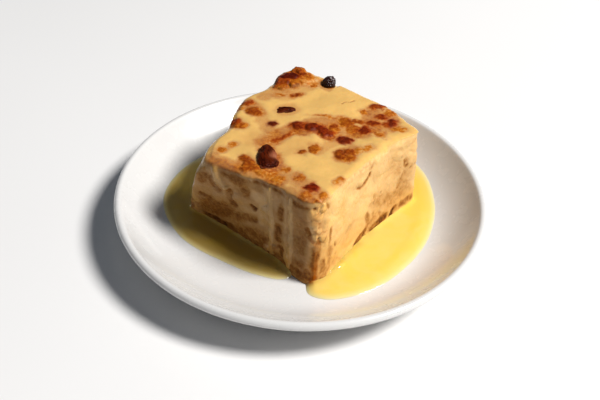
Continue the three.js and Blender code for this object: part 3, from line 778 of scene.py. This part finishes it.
FLOOR_WHITES = ((0.80, 0.79, 0.78), (0.82, 0.81, 0.80))
BLACK_SKIN = (0.03, 0.009, 0.007)
RED_SKINS = ((0.055, 0.005, 0.001), (0.095, 0.013, 0.0015))
SHADE_IN_FOLDS = (0.02, 0.002, 0.001)
GLAZED_SKIN = ((0.0, (0.12, 0.022, 0.005)), (0.45, (0.25, 0.075, 0.035)), (1.0, (0.40, 0.17, 0.085)))


def food_material(name):
    """Crust and crumb seen through custard, alike for the bread and the custard over it, so they meet."""
    glow = {"Subsurface_Weight": 0.12, "Subsurface_Scale": 0.0009, "Subsurface_Radius": (1.0, 0.55, 0.25)}
    shader = Shader(name, IOR=1.42, **glow)
    red, cover, side = (shader.attribute(key) for key in ("red", "cover", "side"))
    fine, coarse = shader.noise(1.5, 5, 0.62), shader.noise(5, 3, 0.5)
    bare = shader.spread(cover, 0.15, 0.9, 1.0, 0.12)
    mottle = shader.plus(
        shader.spread(fine, 0.28, 0.72, -0.13, 0.13),
        shader.spread(coarse, 0.3, 0.7, -0.05, 0.05),
    )
    tone = shader.plus(shader.attribute("tone"), shader.times(mottle, bare), clamp=True)
    crust = shader.mix(red, shader.ramp(tone, CRUST), shader.ramp(tone, RED_CRUST))
    crust = shader.mix(side, crust, shader.ramp(tone, CRUMB))
    film = shader.mix(side, THIN_CUSTARD, SIDE_FILM)
    filmed = shader.mix(shader.spread(cover, 0.0, 0.55, 0.0, 0.45), crust, film)
    soaked = shader.mix(shader.attribute("steeped"), SOAKED_CUSTARD, STEEPED_CUSTARD)
    soaked = shader.mix(shader.attribute("pooled"), soaked, POOL_CUSTARD)
    patches = shader.spread(shader.noise(9, 3, 0.5), 0.35, 0.7, 0.94, 1.06)
    patches = shader.node("CombineColor", Red=patches, Green=patches, Blue=patches).outputs[0]
    custard = shader.tinted(shader.mix(side, POURED_CUSTARD, soaked), patches)
    colour = shader.mix(shader.spread(cover, 0.1, 1.0), filmed, custard)
    colour = shader.mix(shader.times(shader.attribute("syrup"), side), colour, SYRUP)
    # Painted shade: the left face is multiplied darker by a tint.
    painted_shade = shader.times(shader.attribute("painted_shade"), PAINTED_SHADE_SHARE)
    colour = shader.mix(painted_shade, colour, shader.tinted(colour, PAINTED_SHADE_TINT))
    # Painted shade in pores and crevices.
    shader.set("Base Color", shader.mix(shader.attribute("hollow_shade"), colour, PORE_SHADE))
    shader.set("Specular IOR Level", shader.spread(cover, 0.1, 0.8, 0.09, 0.5))
    gloss = shader.plus(shader.spread(cover, 0.0, 1.0, 0.34, 0.15), shader.times(side, 0.16))
    shader.set("Roughness", shader.plus(gloss, shader.spread(fine, 0.3, 0.7, -0.05, 0.07)))
    grain = shader.times(shader.noise(0.8, 4, 0.6), bare)
    swell = shader.times(shader.noise(3.2, 2, 0.5), 0.5)
    shader.bump(shader.plus(grain, swell), 0.35, 0.6)
    return shader.material


def pool_material():
    glow = {"Subsurface_Weight": 0.25, "Subsurface_Scale": 0.0015, "Subsurface_Radius": (1.0, 0.7, 0.2)}
    shader = Shader("custard_pool_look", IOR=1.38, **glow)
    swirls = shader.spread(shader.noise(14, 3, 0.5, 1.0), 0.35, 0.65)
    colour = shader.ramp(shader.attribute("depth"), POOL_BY_DEPTH)
    colour = shader.mix(shader.times(swirls, 0.35), colour, POOL_SWIRL)
    # Painted shade: the custard is multiplied darker where the pool lies in shade.
    colour = shader.mix(shader.attribute("pool_shade"), colour, shader.tinted(colour, POOL_SHADE_TINT))
    shader.set("Base Color", shader.mix(shader.attribute("syrup"), colour, SYRUP))
    shader.set("Roughness", shader.spread(shader.noise(4), 0.3, 0.7, 0.07, 0.14))
    shader.bump(shader.noise(5, 2, 0.5), 0.15, 0.3)
    return shader.material


def china_material():
    shader = Shader("china_look", IOR=1.5, Coat_Weight=0.6, Coat_Roughness=0.06)
    shader.set("Base Color", shader.mix(shader.spread(shader.noise(60, 2), 0.35, 0.65), *CHINA_WHITES))
    shader.set("Roughness", shader.spread(shader.noise(8, 2), 0.3, 0.7, 0.22, 0.30))
    shader.bump(shader.noise(30, 1, 0.4), 0.05, 0.1)
    return shader.material


def raisin_material():
    shader = Shader("raisin_look", Subsurface_Weight=0.05, Subsurface_Scale=0.0008, IOR=1.45)
    glaze, fold, warm = (shader.attribute(key) for key in ("glaze", "fold", "warm"))
    skin = shader.mix(warm, BLACK_SKIN, shader.mix(shader.noise(1.2, 3), *RED_SKINS))
    # Painted shade: the skin is darker in the folds.
    skin = shader.mix(shader.spread(fold, 0.2, 0.9), SHADE_IN_FOLDS, skin)
    glazed = shader.ramp(glaze, GLAZED_SKIN)
    shader.set("Base Color", shader.mix(shader.spread(glaze, 0.0, 0.35), skin, glazed))
    shader.set("Specular IOR Level", shader.spread(warm, 0.0, 1.0, 0.6, 0.06))
    uneven = shader.spread(shader.noise(0.9), 0.3, 0.7, 0.16, 0.32)
    shader.set("Roughness", shader.plus(uneven, shader.times(warm, 0.2)))
    shader.bump(shader.noise(0.6, 3, 0.6), 0.10, 0.3)
    return shader.material


def floor_material():
    shader = Shader("floor_look", Roughness=0.8)
    shader.set("Base Color", shader.mix(shader.spread(shader.noise(300, 2), 0.3, 0.7), *FLOOR_WHITES))
    return shader.material


# ---- Plate ----


def china(radius, off):
    """A point of the china's section, at a radius of its middle surface and a distance up off that."""
    run = PLATE_RADIUS - CHINA / 2 - WELL_RADIUS
    rise = PLATE_HEIGHT - WELL_Z
    t = np.maximum(0, (np.asarray(radius, float) - WELL_RADIUS) / run)
    slope = np.arctan(2 * rise * t / run)
    return radius - off * np.sin(slope), WELL_Z - CHINA / 2 + rise * t * t + off * np.cos(slope)


def plate_section():
    """Radius and height of points along the china's section, from the well round to the foot."""
    half, last = CHINA / 2, PLATE_RADIUS - CHINA / 2 - 0.02
    well = [(r, WELL_Z) for r in np.linspace(0.5, WELL_RADIUS - 2, 24)]
    top = [china(r, half) for r in np.linspace(WELL_RADIUS, last, 32)]
    middle = np.array(china(last, 0))
    start = math.atan2(top[-1][1] - middle[1], top[-1][0] - middle[0])
    round_lip = start - np.pi * np.arange(1, 14) / 14
    lip = [middle + half * np.array([math.cos(a), math.sin(a)]) for a in round_lip]
    under = [china(r, -half) for r in np.linspace(last, WELL_RADIUS, 24)]
    inner, outer = FOOT_RADII
    foot = [(outer + FOOT_EDGE + 1.2, FOOT_HEIGHT)]
    for a in np.linspace(0, 1.5, 5):
        foot.append((outer + FOOT_EDGE * (1 - math.sin(a)), FOOT_HEIGHT - 0.8 * (1 - math.cos(a))))
    foot += [(outer, FOOT_EDGE * 0.7), (outer - 0.35, 0.35), (outer - FOOT_EDGE, 0), (inner + FOOT_EDGE, 0)]
    foot += [(inner + 0.35, 0.35), (inner, FOOT_EDGE), (inner - FOOT_EDGE, FOOT_HEIGHT), (0.5, FOOT_HEIGHT)]
    return [tuple(map(float, p)) for p in (*well, *top, *lip, *under, *foot)]


def plate_piece():
    section = plate_section()
    turn = 2 * np.pi * np.arange(PLATE_SIDES) / PLATE_SIDES
    ring = np.stack([np.cos(turn), np.sin(turn)], axis=1)
    points = [np.column_stack([ring * r, np.full(PLATE_SIDES, z)]) for r, z in section]
    points = np.concatenate([*points, [[0, 0, WELL_Z], [0, 0, FOOT_HEIGHT]]])
    end = (len(section) - 1) * PLATE_SIDES
    faces = []
    for k in range(PLATE_SIDES):
        n = (k + 1) % PLATE_SIDES
        for i in range(0, end, PLATE_SIDES):
            faces.append((i + k, i + PLATE_SIDES + k, i + PLATE_SIDES + n, i + n))
        faces += [(len(points) - 2, k, n), (len(points) - 1, end + n, end + k)]
    return new_piece("china_plate", points, faces, "plate", "china", china_material())


# ---- Pudding ----


def block_net():
    """The net over the block: points, quads, distance round it, which are on its sides, and its foot."""
    n = TOP_CELLS
    line, steps = np.linspace(0, 1, n + 1), np.arange(n)
    u, v = grid(line, line)
    points = [block_points(u, v, np.zeros(len(u)))]
    i, j = grid(steps, steps)
    first = i * (n + 1) + j
    quads = [np.column_stack([first, first + n + 1, first + n + 2, first + 1])]
    bi = np.concatenate([steps, np.full(n, n), n - steps, np.zeros(n, int)])
    bj = np.concatenate([np.zeros(n, int), steps, np.full(n, n), n - steps])
    upper = bi * (n + 1) + bj
    count = (n + 1) ** 2
    for row in range(1, SIDE_ROWS + 1):
        t = np.full(len(bi), row / SIDE_ROWS)
        points.append(block_points(bi / n, bj / n, t))
        lower = count + np.arange(len(bi))
        count += len(bi)
        nxt = np.roll(np.arange(len(bi)), -1)
        quads.append(np.column_stack([lower, lower[nxt], upper[nxt], upper]))
        upper = lower
    du, dv = np.minimum(u, 1 - u), np.minimum(v, 1 - v)
    round_top = np.where(dv <= du, np.where(v < 0.5, u, -1 - u), np.where(u < 0.5, -v, 1 + v))
    border = np.concatenate([steps / n, 1 + steps / n, -1 - (n - steps) / n, -(n - steps) / n])
    girth = PUDDING_SIDE * np.concatenate([round_top, np.tile(border, SIDE_ROWS)])
    side = np.concatenate([np.zeros(len(u)), np.ones(len(bi) * SIDE_ROWS)])
    return np.concatenate(points), np.concatenate(quads), girth, side > 0, upper


def side_marks(girth, p):
    """Darkness, relief, film of custard and syrup that the marks, lumps and runs give to the sides, with
    painted shade in the gaps between crumbs.
    """
    a = girth + 1.4 * rough_noise(p, 4.5, 51)
    b = p[:, 2] + 1.4 * rough_noise(p, 4.5, 57)
    blotches = np.clip(0.8 + 0.6 * rough_noise(p, 2.6, 63), 0.3, 1)
    dark, relief, film, syrup = np.zeros((4, len(p)))
    for tone, radius, deep, points in MARKS:
        share = near_line(a, b, points, radius) * blotches
        dark = np.maximum(dark, tone * share)
        relief += deep * share
    for at, height, radius, high in LUMPS:
        share = np.maximum(0, 1 - ((a - at) ** 2 + (b - height) ** 2) / radius**2)
        relief += high * np.sqrt(share)
        dark = np.where(share > 0.15, dark * 0.35, dark)
    for share, radius, high, points in FILMS:
        near = near_line(a, b, points, radius)
        relief += high * near
        film += share * near
        dark *= 1 - 0.7 * near
    nearest, second, _ = cells(p + 0.6 * noise(p, 2, 43)[:, None], 4.2, 41)
    bead = 1 - smooth(nearest / 0.7)
    gap = smooth(1 - (second - nearest) / 0.2)
    for radius, points in CRUMBLY:
        share = near_line(a, b, points, radius, 1.4)
        relief += share * (0.3 * bead - 0.1 * gap)
        # Painted shade: the gaps between crumbs are coloured darker and a warm syrup brown.
        dark = np.maximum(dark, 0.34 * share * gap * blotches)
        film += 0.6 * share * bead
        syrup = np.maximum(syrup, 0.5 * share * gap * blotches)
    for share, radius, points in SYRUPY:
        syrup = np.maximum(syrup, share * near_line(a, b, points, radius))
    return dark, relief, film, syrup


def far_marks(girth, z):
    """Seeded streaks of crust on the two far faces."""
    draw = np.random.default_rng(7)
    dark = np.zeros(len(z))
    for _ in range(34):
        at = draw.uniform(79, 152) * draw.choice([-1, 1])
        height = draw.uniform(9, 47)
        reach, lean = draw.uniform(2, 7), draw.uniform(-1.5, 1.5)
        radius, tone = draw.uniform(0.8, 2.2), draw.uniform(0.3, 0.65)
        away = segment_distance(girth, z, (at, height), (at + reach, height + lean))
        dark = np.maximum(dark, tone * smooth((radius - away) / radius + 0.5))
    return dark


class Block:
    """The pudding's surface with all its relief, and what its materials need to know."""

    def __init__(self):
        smooth_points, self.quads, self.girth, self.is_side, self.foot = block_net()
        normals = normals_of(smooth_points, self.quads)
        self.up = smooth(normals[:, 2] / CRAG_SLOPE)
        self.side_dark, self.relief, self.run, self.syrup = side_marks(self.girth, smooth_points)
        crust, thin_crust = self.mark_top(smooth_points)
        self.points, rough = self.raised(smooth_points, normals)
        self.normals = normals_of(self.points, self.quads)
        self.paint(np.maximum(crust * (1 + 0.14 * rough), thin_crust) + 0.03)

    def mark_top(self, points):
        """Crags, thin places and red crust of the top. Gives how dark bare and thinly covered crust are."""
        # Crags and thin places have ragged outlines, and the custard is thin round a glazed raisin.
        broad = noises(rough_noise, points, 3.4, (61, 66))
        ragged = noises(noise, points, 1.5, (161, 166))
        place = points[:, :2] + 1.8 * broad + 0.6 * ragged
        self.crag, on_crag, dark, red = crags(*place.T)
        thin, thin_dark = thin_places(*(points[:, :2] + 2 * broad).T)
        for name, (glazed, *_) in RAISIN_SKINS.items():
            near = 0.7 * glazed * smooth(1 - raisin_distance(name, *place.T) / 2.4)
            thin = 1 - (1 - thin) * (1 - near)
            dark, red = np.maximum(dark, 0.7 * near), np.maximum(red, near)
        self.thin = (1 - (1 - thin) * (1 - 0.97 * on_crag)) * self.up
        self.red = red * self.up
        return dark, thin_dark

    def raised(self, points, normals):
        """The points with lumps, crevices, marks, crumb, pores and crags, and how rough the crags are."""
        up = self.up
        side = smooth((CRAG_SLOPE - normals[:, 2]) / CRAG_SLOPE) * self.is_side
        nearest, second, _ = cells(points, CHUNK_SIZE)
        crevice = np.exp(-(second - nearest) * CHUNK_SIZE[2] / CREVICE_WIDTH)
        off = LUMP_HEIGHT * noise(points, LUMP_SIZE, 11)
        off -= crevice * mix(CREVICE_DEPTH, TOP_CREVICE_DEPTH, up)
        off += self.relief * side + 0.3 * rough_noise(points, 6, 191) * side
        crumb = CRUMB_HEIGHT * (rough_noise(points, 2.6, 71) + 0.4 * noise(points, 0.9, 77))
        off += crumb * mix(1, 0.15, up) + 2 * up * (1 - up) * rough_noise(points, 4, 121)
        pore_near, _, pore_own = cells(points, PORE_SPACING, 31)
        patchy = smooth(0.2 + 1.6 * noise(points, 9, 83))
        pore = smooth((0.42 - pore_near) / 0.25) * (pore_own > 0.7) * patchy * side
        off -= PORE_DEPTH * pore
        off *= smooth((points[:, 2] - BASE_Z) / 1.5)
        off[self.foot] = 0
        points = points + softened(normals, self.quads, 2) * off[:, None]
        rough = rough_noise(points, 2, 91, 4)
        points[:, 2] += up * (self.crag + CRISP_HEIGHT * smooth(self.crag / 1.2) * (rough - 0.35))
        # Painted shade: pores, crevices and deep grooves are coloured darker.
        hollow_shade = 0.35 * pore + 0.04 * crevice + np.where(self.relief < -0.8, 0.5, 0) * side
        self.hollow_shade = np.clip(hollow_shade, 0, 0.85)
        return points, rough

    def paint(self, top_tone):
        """Darkness of crust and crumb, the painted shade of the left face, and the custard that has soaked
        into them.
        """
        points = self.points
        height, steep = points[:, 2], self.normals[:, 2]
        self.side = 1 - smooth((steep - 0.15) / 0.6)
        # Painted shade: the left face, from a little left of the front corner on, and its rounded top edge
        # are painted darker.
        on_left = 1 - smooth((self.girth - PAINTED_SHADE_FROM + 1.6 * smooth((height - 38) / 8)) / PAINTED_SHADE_BLEND)
        self.painted_shade = on_left * (1 - smooth((steep - 0.4) / 0.55))
        sunny = 1 - on_left
        side_tone = np.maximum(self.side_dark * mix(*MARK_SHARES, sunny), far_marks(self.girth, height))
        side_tone += mix(*SIDE_TONES, sunny) + 0.12 * rough_noise(points, 7, 105)
        self.tone = np.clip(mix(side_tone, top_tone, self.up), 0, 1)
        # Thin custard that has soaked in or run down: less in the marks, and more just over the pool.
        film = mix(*SIDE_FILMS, sunny) + 0.35 * rough_noise(points, 8, 111)
        film += self.run - 1.2 * self.side_dark + 0.2 * smooth((11 - height) / 3.5) * sunny
        self.cover = np.clip(mix(film, 0.05 + 0.3 * rough_noise(points, 3, 117), self.up), 0, 1)
        # Bread steeped in custard and a little browned: most near the foot and at the front corner.
        wet = smooth((30 - height) / 22) + 0.8 * hill(self.girth - 2, 12)
        wet += 0.9 * rough_noise(points, 9, 141)
        self.steeped = np.clip(wet - 0.15, 0, 1) * self.is_side
        climb = smooth((12.5 + 1.5 * noise(points, 6, 151) - height) / 4.5)
        self.pooled = climb * sunny * (1 - 0.8 * self.side_dark) * self.is_side


FOOD_KEYS = ("tone", "red", "side", "painted_shade", "hollow_shade", "steeped", "pooled", "syrup")


def pudding_piece(block):
    points = np.concatenate([block.points, [[0, 0, BASE_Z]]])
    middle, foot = len(block.points), block.foot.tolist()
    faces = block.quads.tolist() + [(middle, b, a) for a, b in zip(foot, foot[1:] + foot[:1])]
    own = {key: np.append(getattr(block, key), 0) for key in (*FOOD_KEYS, "cover")}
    look = food_material("bread_look")
    return new_piece("pudding_bread", to_plate(points), faces, "pudding", "bread", look, **own)


# ---- Custard over the top ----

SIDE_OF_GIRTH = ("far left", "left", "right", "far right")


def inside_run(block):
    """How far inside the custard's edge each point of a side is, in the spill under the top or in a run."""
    x, y, z = block.points.T
    which = np.clip(np.floor(block.girth / PUDDING_SIDE).astype(int) + 2, 0, 3)
    u, v = (np.clip(a / PUDDING_SIDE + 0.5, 0, 1) for a in (x, y))
    inside = z - blend(TOP_HEIGHTS, u, v) + SPILL + SPILL_UNEVENNESS * noise(block.points, COAT_RIPPLE, 21)
    sway = 0.5 * noise(block.points, 9, 131)
    wider = 1 + 0.8 * np.clip((z - 40) / 12, 0, 1)
    for name, middle, half, low in RUNS:
        place = x if name in ("right", "far left") else y
        below = np.maximum(0, low + half - z)
        run = half * wider - np.hypot(place + sway - middle, below)
        inside = np.where(which == SIDE_OF_GIRTH.index(name), np.maximum(inside, run), inside)
    return inside


def raisin_distance(name, x, y):
    """Distance of points from a raisin's outline, below 0 inside it."""
    middle_x, middle_y, _, half, turn = RAISINS[name]
    along, across = turned(x - middle_x, y - middle_y, math.radians(turn))
    return (np.hypot(along / (half[0] + 0.2), across / (half[1] + 0.2)) - 1) * half[1]


def coat_thickness(block):
    level = COAT * (1 + COAT_UNEVENNESS * noise(block.points, COAT_RIPPLE, 31)) * (1 - 0.45 * block.thin)
    over_crags = np.logaddexp(level / MENISCUS, (block.crag + CRAG_FILM) / MENISCUS) * MENISCUS
    over_top, over_side = SIDE_SLOPES
    slope_down = smooth((over_top - block.normals[:, 2]) / (over_top - over_side)) * block.is_side
    side = np.minimum(SIDE_COAT, 0.04 + RUN_SLOPE * inside_run(block))
    thickness = mix(over_crags - block.crag, side, slope_down)
    # The custard stops short of the bare raisin.
    outside = raisin_distance("raisin_black", *block.points[:, :2].T)
    return np.where(block.points[:, 2] > 40, np.minimum(thickness, 0.15 + outside), thickness)


def coat_piece(block):
    thickness = coat_thickness(block)
    quads = block.quads[(thickness[block.quads] > 0).any(axis=1)]
    used, flat = np.unique(quads, return_inverse=True)
    points, thick = block.points[used], thickness[used]
    outward = softened(block.normals, block.quads, 8)[used]
    # Small waves where the custard rolls over the edge.
    rolling = hill(block.normals[used, 2] - 0.8, 0.18)
    waves = 0.1 * rolling * smooth(thick / 0.4) * noise(points, 1.3, 201)
    lift = np.where(thick > 0, np.maximum(thick + waves, 0.02), -0.15)
    upper = points + outward * lift[:, None]
    lower = points - outward * COAT_DEPTH
    deep = np.maximum(thick - CRAG_FILM, 0)
    # On the painted shade of the left face the custard shows less, so the coat stays darker there.
    on_side = 1 - (1 - block.cover[used]) * np.exp(-deep / 0.42 * (1 - 0.6 * block.painted_shade[used]))
    cover = mix(on_side, 1 - block.thin[used], block.up[used])
    own = {key: np.tile(getattr(block, key)[used], 2) for key in FOOD_KEYS}
    own["cover"] = np.tile(cover, 2)
    points = to_plate(np.concatenate([upper, lower]))
    faces = closed_shell(flat.reshape(quads.shape), len(used))
    look = food_material("custard_coat_look")
    return new_piece("custard_over_pudding", points, faces, "custard_coat", "custard", look, **own)


# ---- Pool ----


def pool_surfaces():
    """The pool's upper and lower points, column by column, and how deep it is there, from 0 to 1."""
    upper, lower, depth = [], [], []
    shares = np.linspace(0, 1, POOL_MARGIN_ROWS) ** 1.6
    for azimuth, radius in spline(POOL_EDGE, np.linspace(0, 1, POOL_COLUMNS + 1)):
        margin = min(POOL_RIM, (radius - POOL_INSIDE) / 2)
        inner = np.linspace(radius - margin, POOL_INSIDE, POOL_ROWS - POOL_MARGIN_ROWS + 1)[1:]
        at = np.concatenate([radius - shares * margin, inner])
        in_margin = 1 - np.concatenate([shares, np.ones(len(inner))])
        from_end = np.clip((azimuth - POOL_END) * radius * math.radians(1) / POOL_END_RISE, 0.04, 1)
        deep = ((1 - in_margin**2) * (1 - (1 - from_end) ** 2)) ** 0.9
        for kept, thick in ((upper, deep * POOL_THICKNESS), (lower, 0 * deep)):
            r, z = china(at, CHINA / 2 + POOL_LIFT + thick)
            turn = math.radians(azimuth)
            kept.append(np.column_stack([r * math.cos(turn), r * math.sin(turn), z]))
        depth.append(deep)
    return np.concatenate(upper), np.concatenate(lower), np.concatenate(depth)


def out_from_bread(block, x, y):
    """How far outside the pudding's wall each point of the pool is, and 0 under it."""
    wall = to_plate(block.points[np.abs(block.points[:, 2] - POOL_TOP) < 0.5])
    turns = np.arctan2(wall[:, 1], wall[:, 0])
    order = np.argsort(turns)
    reach = np.interp(np.arctan2(y, x), turns[order], np.hypot(*wall[order, :2].T), period=2 * np.pi)
    return np.maximum(np.hypot(x, y) - reach, 0)


def pool_piece(block):
    upper, lower, depth = pool_surfaces()
    x, y = upper[:, 0].copy(), upper[:, 1].copy()
    out = out_from_bread(block, x, y)
    # The custard draws up a little against the bread, least at the front corner.
    from_corner = np.hypot(x - FRONT_CORNER[0], y - FRONT_CORNER[1])
    uneven = 1 + 0.35 * noise(upper, 3, 171) - 0.7 * hill(from_corner, 4)
    upper[:, 2] += MENISCUS_RISE * uneven * np.exp(-out / 0.9) * smooth(depth * 1.4)
    # A drop lies along the foot of the right face.
    along, across = turned(x - DROP_AT[0], y - DROP_AT[1], PUDDING_TURN)
    upper[:, 2] += DROP_SIZE[2] * hill(along, DROP_SIZE[0]) * hill(across, DROP_SIZE[1])
    # Painted shade: the custard is darker in front of the shaded left face, and in a thin band along the
    # foot of the right face.
    left = -turned(x, y, PUDDING_TURN)[0]
    pool_shade = smooth((left - 20) / 16) * smooth(depth * 1.5) * smooth((4 - x) / 5)
    contact_shade = 0.6 * smooth((left + 16) / 10) * hill(out, 2.2) * (0.8 + 0.5 * noise(upper, 5, 181))
    own = {
        "depth": depth,
        "pool_shade": np.clip(np.maximum(pool_shade, contact_shade), 0, 1),
        "syrup": hill(x - 5.6, 2.2) * hill(out, 1.5) * smooth(left / 10),
    }
    own = {key: np.tile(values, 2) for key, values in own.items()}
    rows = len(upper) // (POOL_COLUMNS + 1)
    k, i = grid(np.arange(POOL_COLUMNS), np.arange(rows - 1))
    first = k * rows + i
    faces = closed_shell(np.column_stack([first, first + rows, first + rows + 1, first + 1]), len(upper))
    points = np.concatenate([upper, lower])
    look = pool_material()
    return new_piece("custard_round_pudding", points, faces, "custard_pool", "custard", look, **own)


# ---- Raisins ----


def fine_ball():
    """Points and faces of a finely cut ball of radius 1."""
    bpy.ops.mesh.primitive_ico_sphere_add(subdivisions=6, radius=1)
    made = bpy.context.object
    points = np.array([v.co for v in made.data.vertices])
    faces = [tuple(f.vertices) for f in made.data.polygons]
    bpy.data.objects.remove(made)
    return points, faces


def raisin_folds(points, warp, glazed, seed):
    """How far out the skin lies, from 0 in the folds that run along a raisin to 1 between them."""
    along = (points + 0.4 * warp) * (0.6, 1.3, 1.3)
    folds = np.abs(noise(along, 0.42, seed + 3))
    wrinkles = np.abs(noise(along * 2.1, 0.42, seed + 5))
    fold = np.clip(0.7 * smooth(folds / 0.45) + 0.3 * smooth(wrinkles / 0.5), 0, 1)
    return mix(fold, 1, 0.6 * glazed)


def raisin_piece(name, block, material, seed):
    x, y, over, half, turn = RAISINS[name]
    glazed, warm, bend = RAISIN_SKINS[name]
    ball, faces = fine_ball()
    warp = noises(rough_noise, ball, 0.9, (seed, seed + 10, seed + 20))
    points = ball + 0.16 * noises(noise, ball, 0.8, (seed + 70, seed + 71, seed + 72))
    fold = raisin_folds(points, warp, glazed, seed)
    dents = noise(points, 0.9, seed + 8)
    # A bent raisin is pinched in the middle of one side, where a blob of custard sits.
    long, wide, _ = points.T
    pinch = bend * hill(long + 0.1, 0.3) * smooth(0.4 - wide)
    blob = bend * hill(long + 0.05, 0.45) * hill(wide + 1 + 0.3 * dents, 0.5)
    points = points * (0.82 + 0.15 * fold + 0.16 * dents - 0.5 * pinch)[:, None]
    points[:, 1] *= 1 + 0.4 * bend * long**2
    points[:, 1] -= 0.6 * bend * smooth((-long - 0.2) / 0.6) * smooth((0.9 - wide) / 1.8)
    long, wide, high = (points * np.array(half)).T
    points = np.column_stack([*turned(long, wide, -math.radians(turn)), high])
    on_top = block.points[: (TOP_CELLS + 1) ** 2]
    ground = on_top[np.argmin(np.hypot(on_top[:, 0] - x, on_top[:, 1] - y)), 2]
    points += np.array([x, y, ground + over])
    low = smooth((ground + COAT + 0.6 + 0.6 * dents - points[:, 2]) / 0.9)
    own = {
        "fold": fold,
        "glaze": np.clip(np.maximum(glazed * low, 1.5 * blob), 0, 1),
        "warm": np.full(len(fold), warm),
    }
    return new_piece(name + "_fruit", to_plate(points), faces, name, "raisin", material, **own)


# ---- Camera, light and floor ----


CAMERA_AT = (-0.4615, -313.911, 272.330)
CAMERA_ELEVATION = 39.431
CAMERA_ROLL = 2.444
LIGHT_AZIMUTH = -12.5
LIGHT_ELEVATION = 51.5
LIGHT_DISTANCE = 2600
LIGHT_HALF_ANGLE = 8
LIGHT_POWER = 98
LIGHT_COLOUR = (1.0, 0.985, 0.965)
SKY_COLOUR = (0.79, 0.92, 1.1)
SKY_STRENGTH = 0.108
FLOOR_HALF = 3000


def turned_to(x_axis, z_axis, place):
    """A matrix that puts an object at a place, with its axes turned to the given ones."""
    matrix = np.eye(4)
    matrix[:3] = np.column_stack([x_axis, np.cross(z_axis, x_axis), z_axis, np.array(place) * MM])
    return Matrix(matrix.tolist())


def camera():
    elevation, roll = math.radians(CAMERA_ELEVATION), math.radians(CAMERA_ROLL)
    back = np.array([0, -math.cos(elevation), math.sin(elevation)])
    right = np.array([1, 0, 0])
    made = added("camera", bpy.data.cameras.new("camera"))
    made.data.lens = 50
    made.data.sensor_width = 36
    made.data.clip_start = 0.01
    x_axis = math.cos(roll) * right + math.sin(roll) * np.cross(back, right)
    made.matrix_world = turned_to(x_axis, back, CAMERA_AT)
    bpy.context.scene.camera = made


def key_light():
    azimuth, elevation = math.radians(LIGHT_AZIMUTH), math.radians(LIGHT_ELEVATION)
    flat = math.cos(elevation)
    toward = np.array([flat * math.cos(azimuth), flat * math.sin(azimuth), math.sin(elevation)])
    lamp = bpy.data.lights.new("key", "AREA")
    lamp.shape = "DISK"
    lamp.size = 2 * LIGHT_DISTANCE * MM * math.tan(math.radians(LIGHT_HALF_ANGLE))
    lamp.energy = LIGHT_POWER
    lamp.color = LIGHT_COLOUR
    x_axis = np.array([-math.sin(azimuth), math.cos(azimuth), 0])
    added("key", lamp).matrix_world = turned_to(x_axis, toward, toward * LIGHT_DISTANCE)


def world():
    made = bpy.data.worlds.new("world")
    made.use_nodes = True
    background = made.node_tree.nodes["Background"]
    background.inputs["Color"].default_value = (*SKY_COLOUR, 1)
    background.inputs["Strength"].default_value = SKY_STRENGTH
    bpy.context.scene.world = made


def floor():
    mesh = bpy.data.meshes.new("floor")
    half = FLOOR_HALF * MM
    corners = [(-half, -half, 0), (half, -half, 0), (half, half, 0), (-half, half, 0)]
    mesh.from_pydata(corners, [], [(0, 1, 2, 3)])
    mesh.materials.append(floor_material())
    added("floor", mesh)


camera()
key_light()
world()
floor()
bpy.context.scene.view_settings.view_transform = "Standard"

plate_piece()
block = Block()
pudding_piece(block)
coat_piece(block)
pool_piece(block)
raisin_look = raisin_material()
for index, name in enumerate(RAISINS):
    raisin_piece(name, block, raisin_look, 200 + 20 * index)
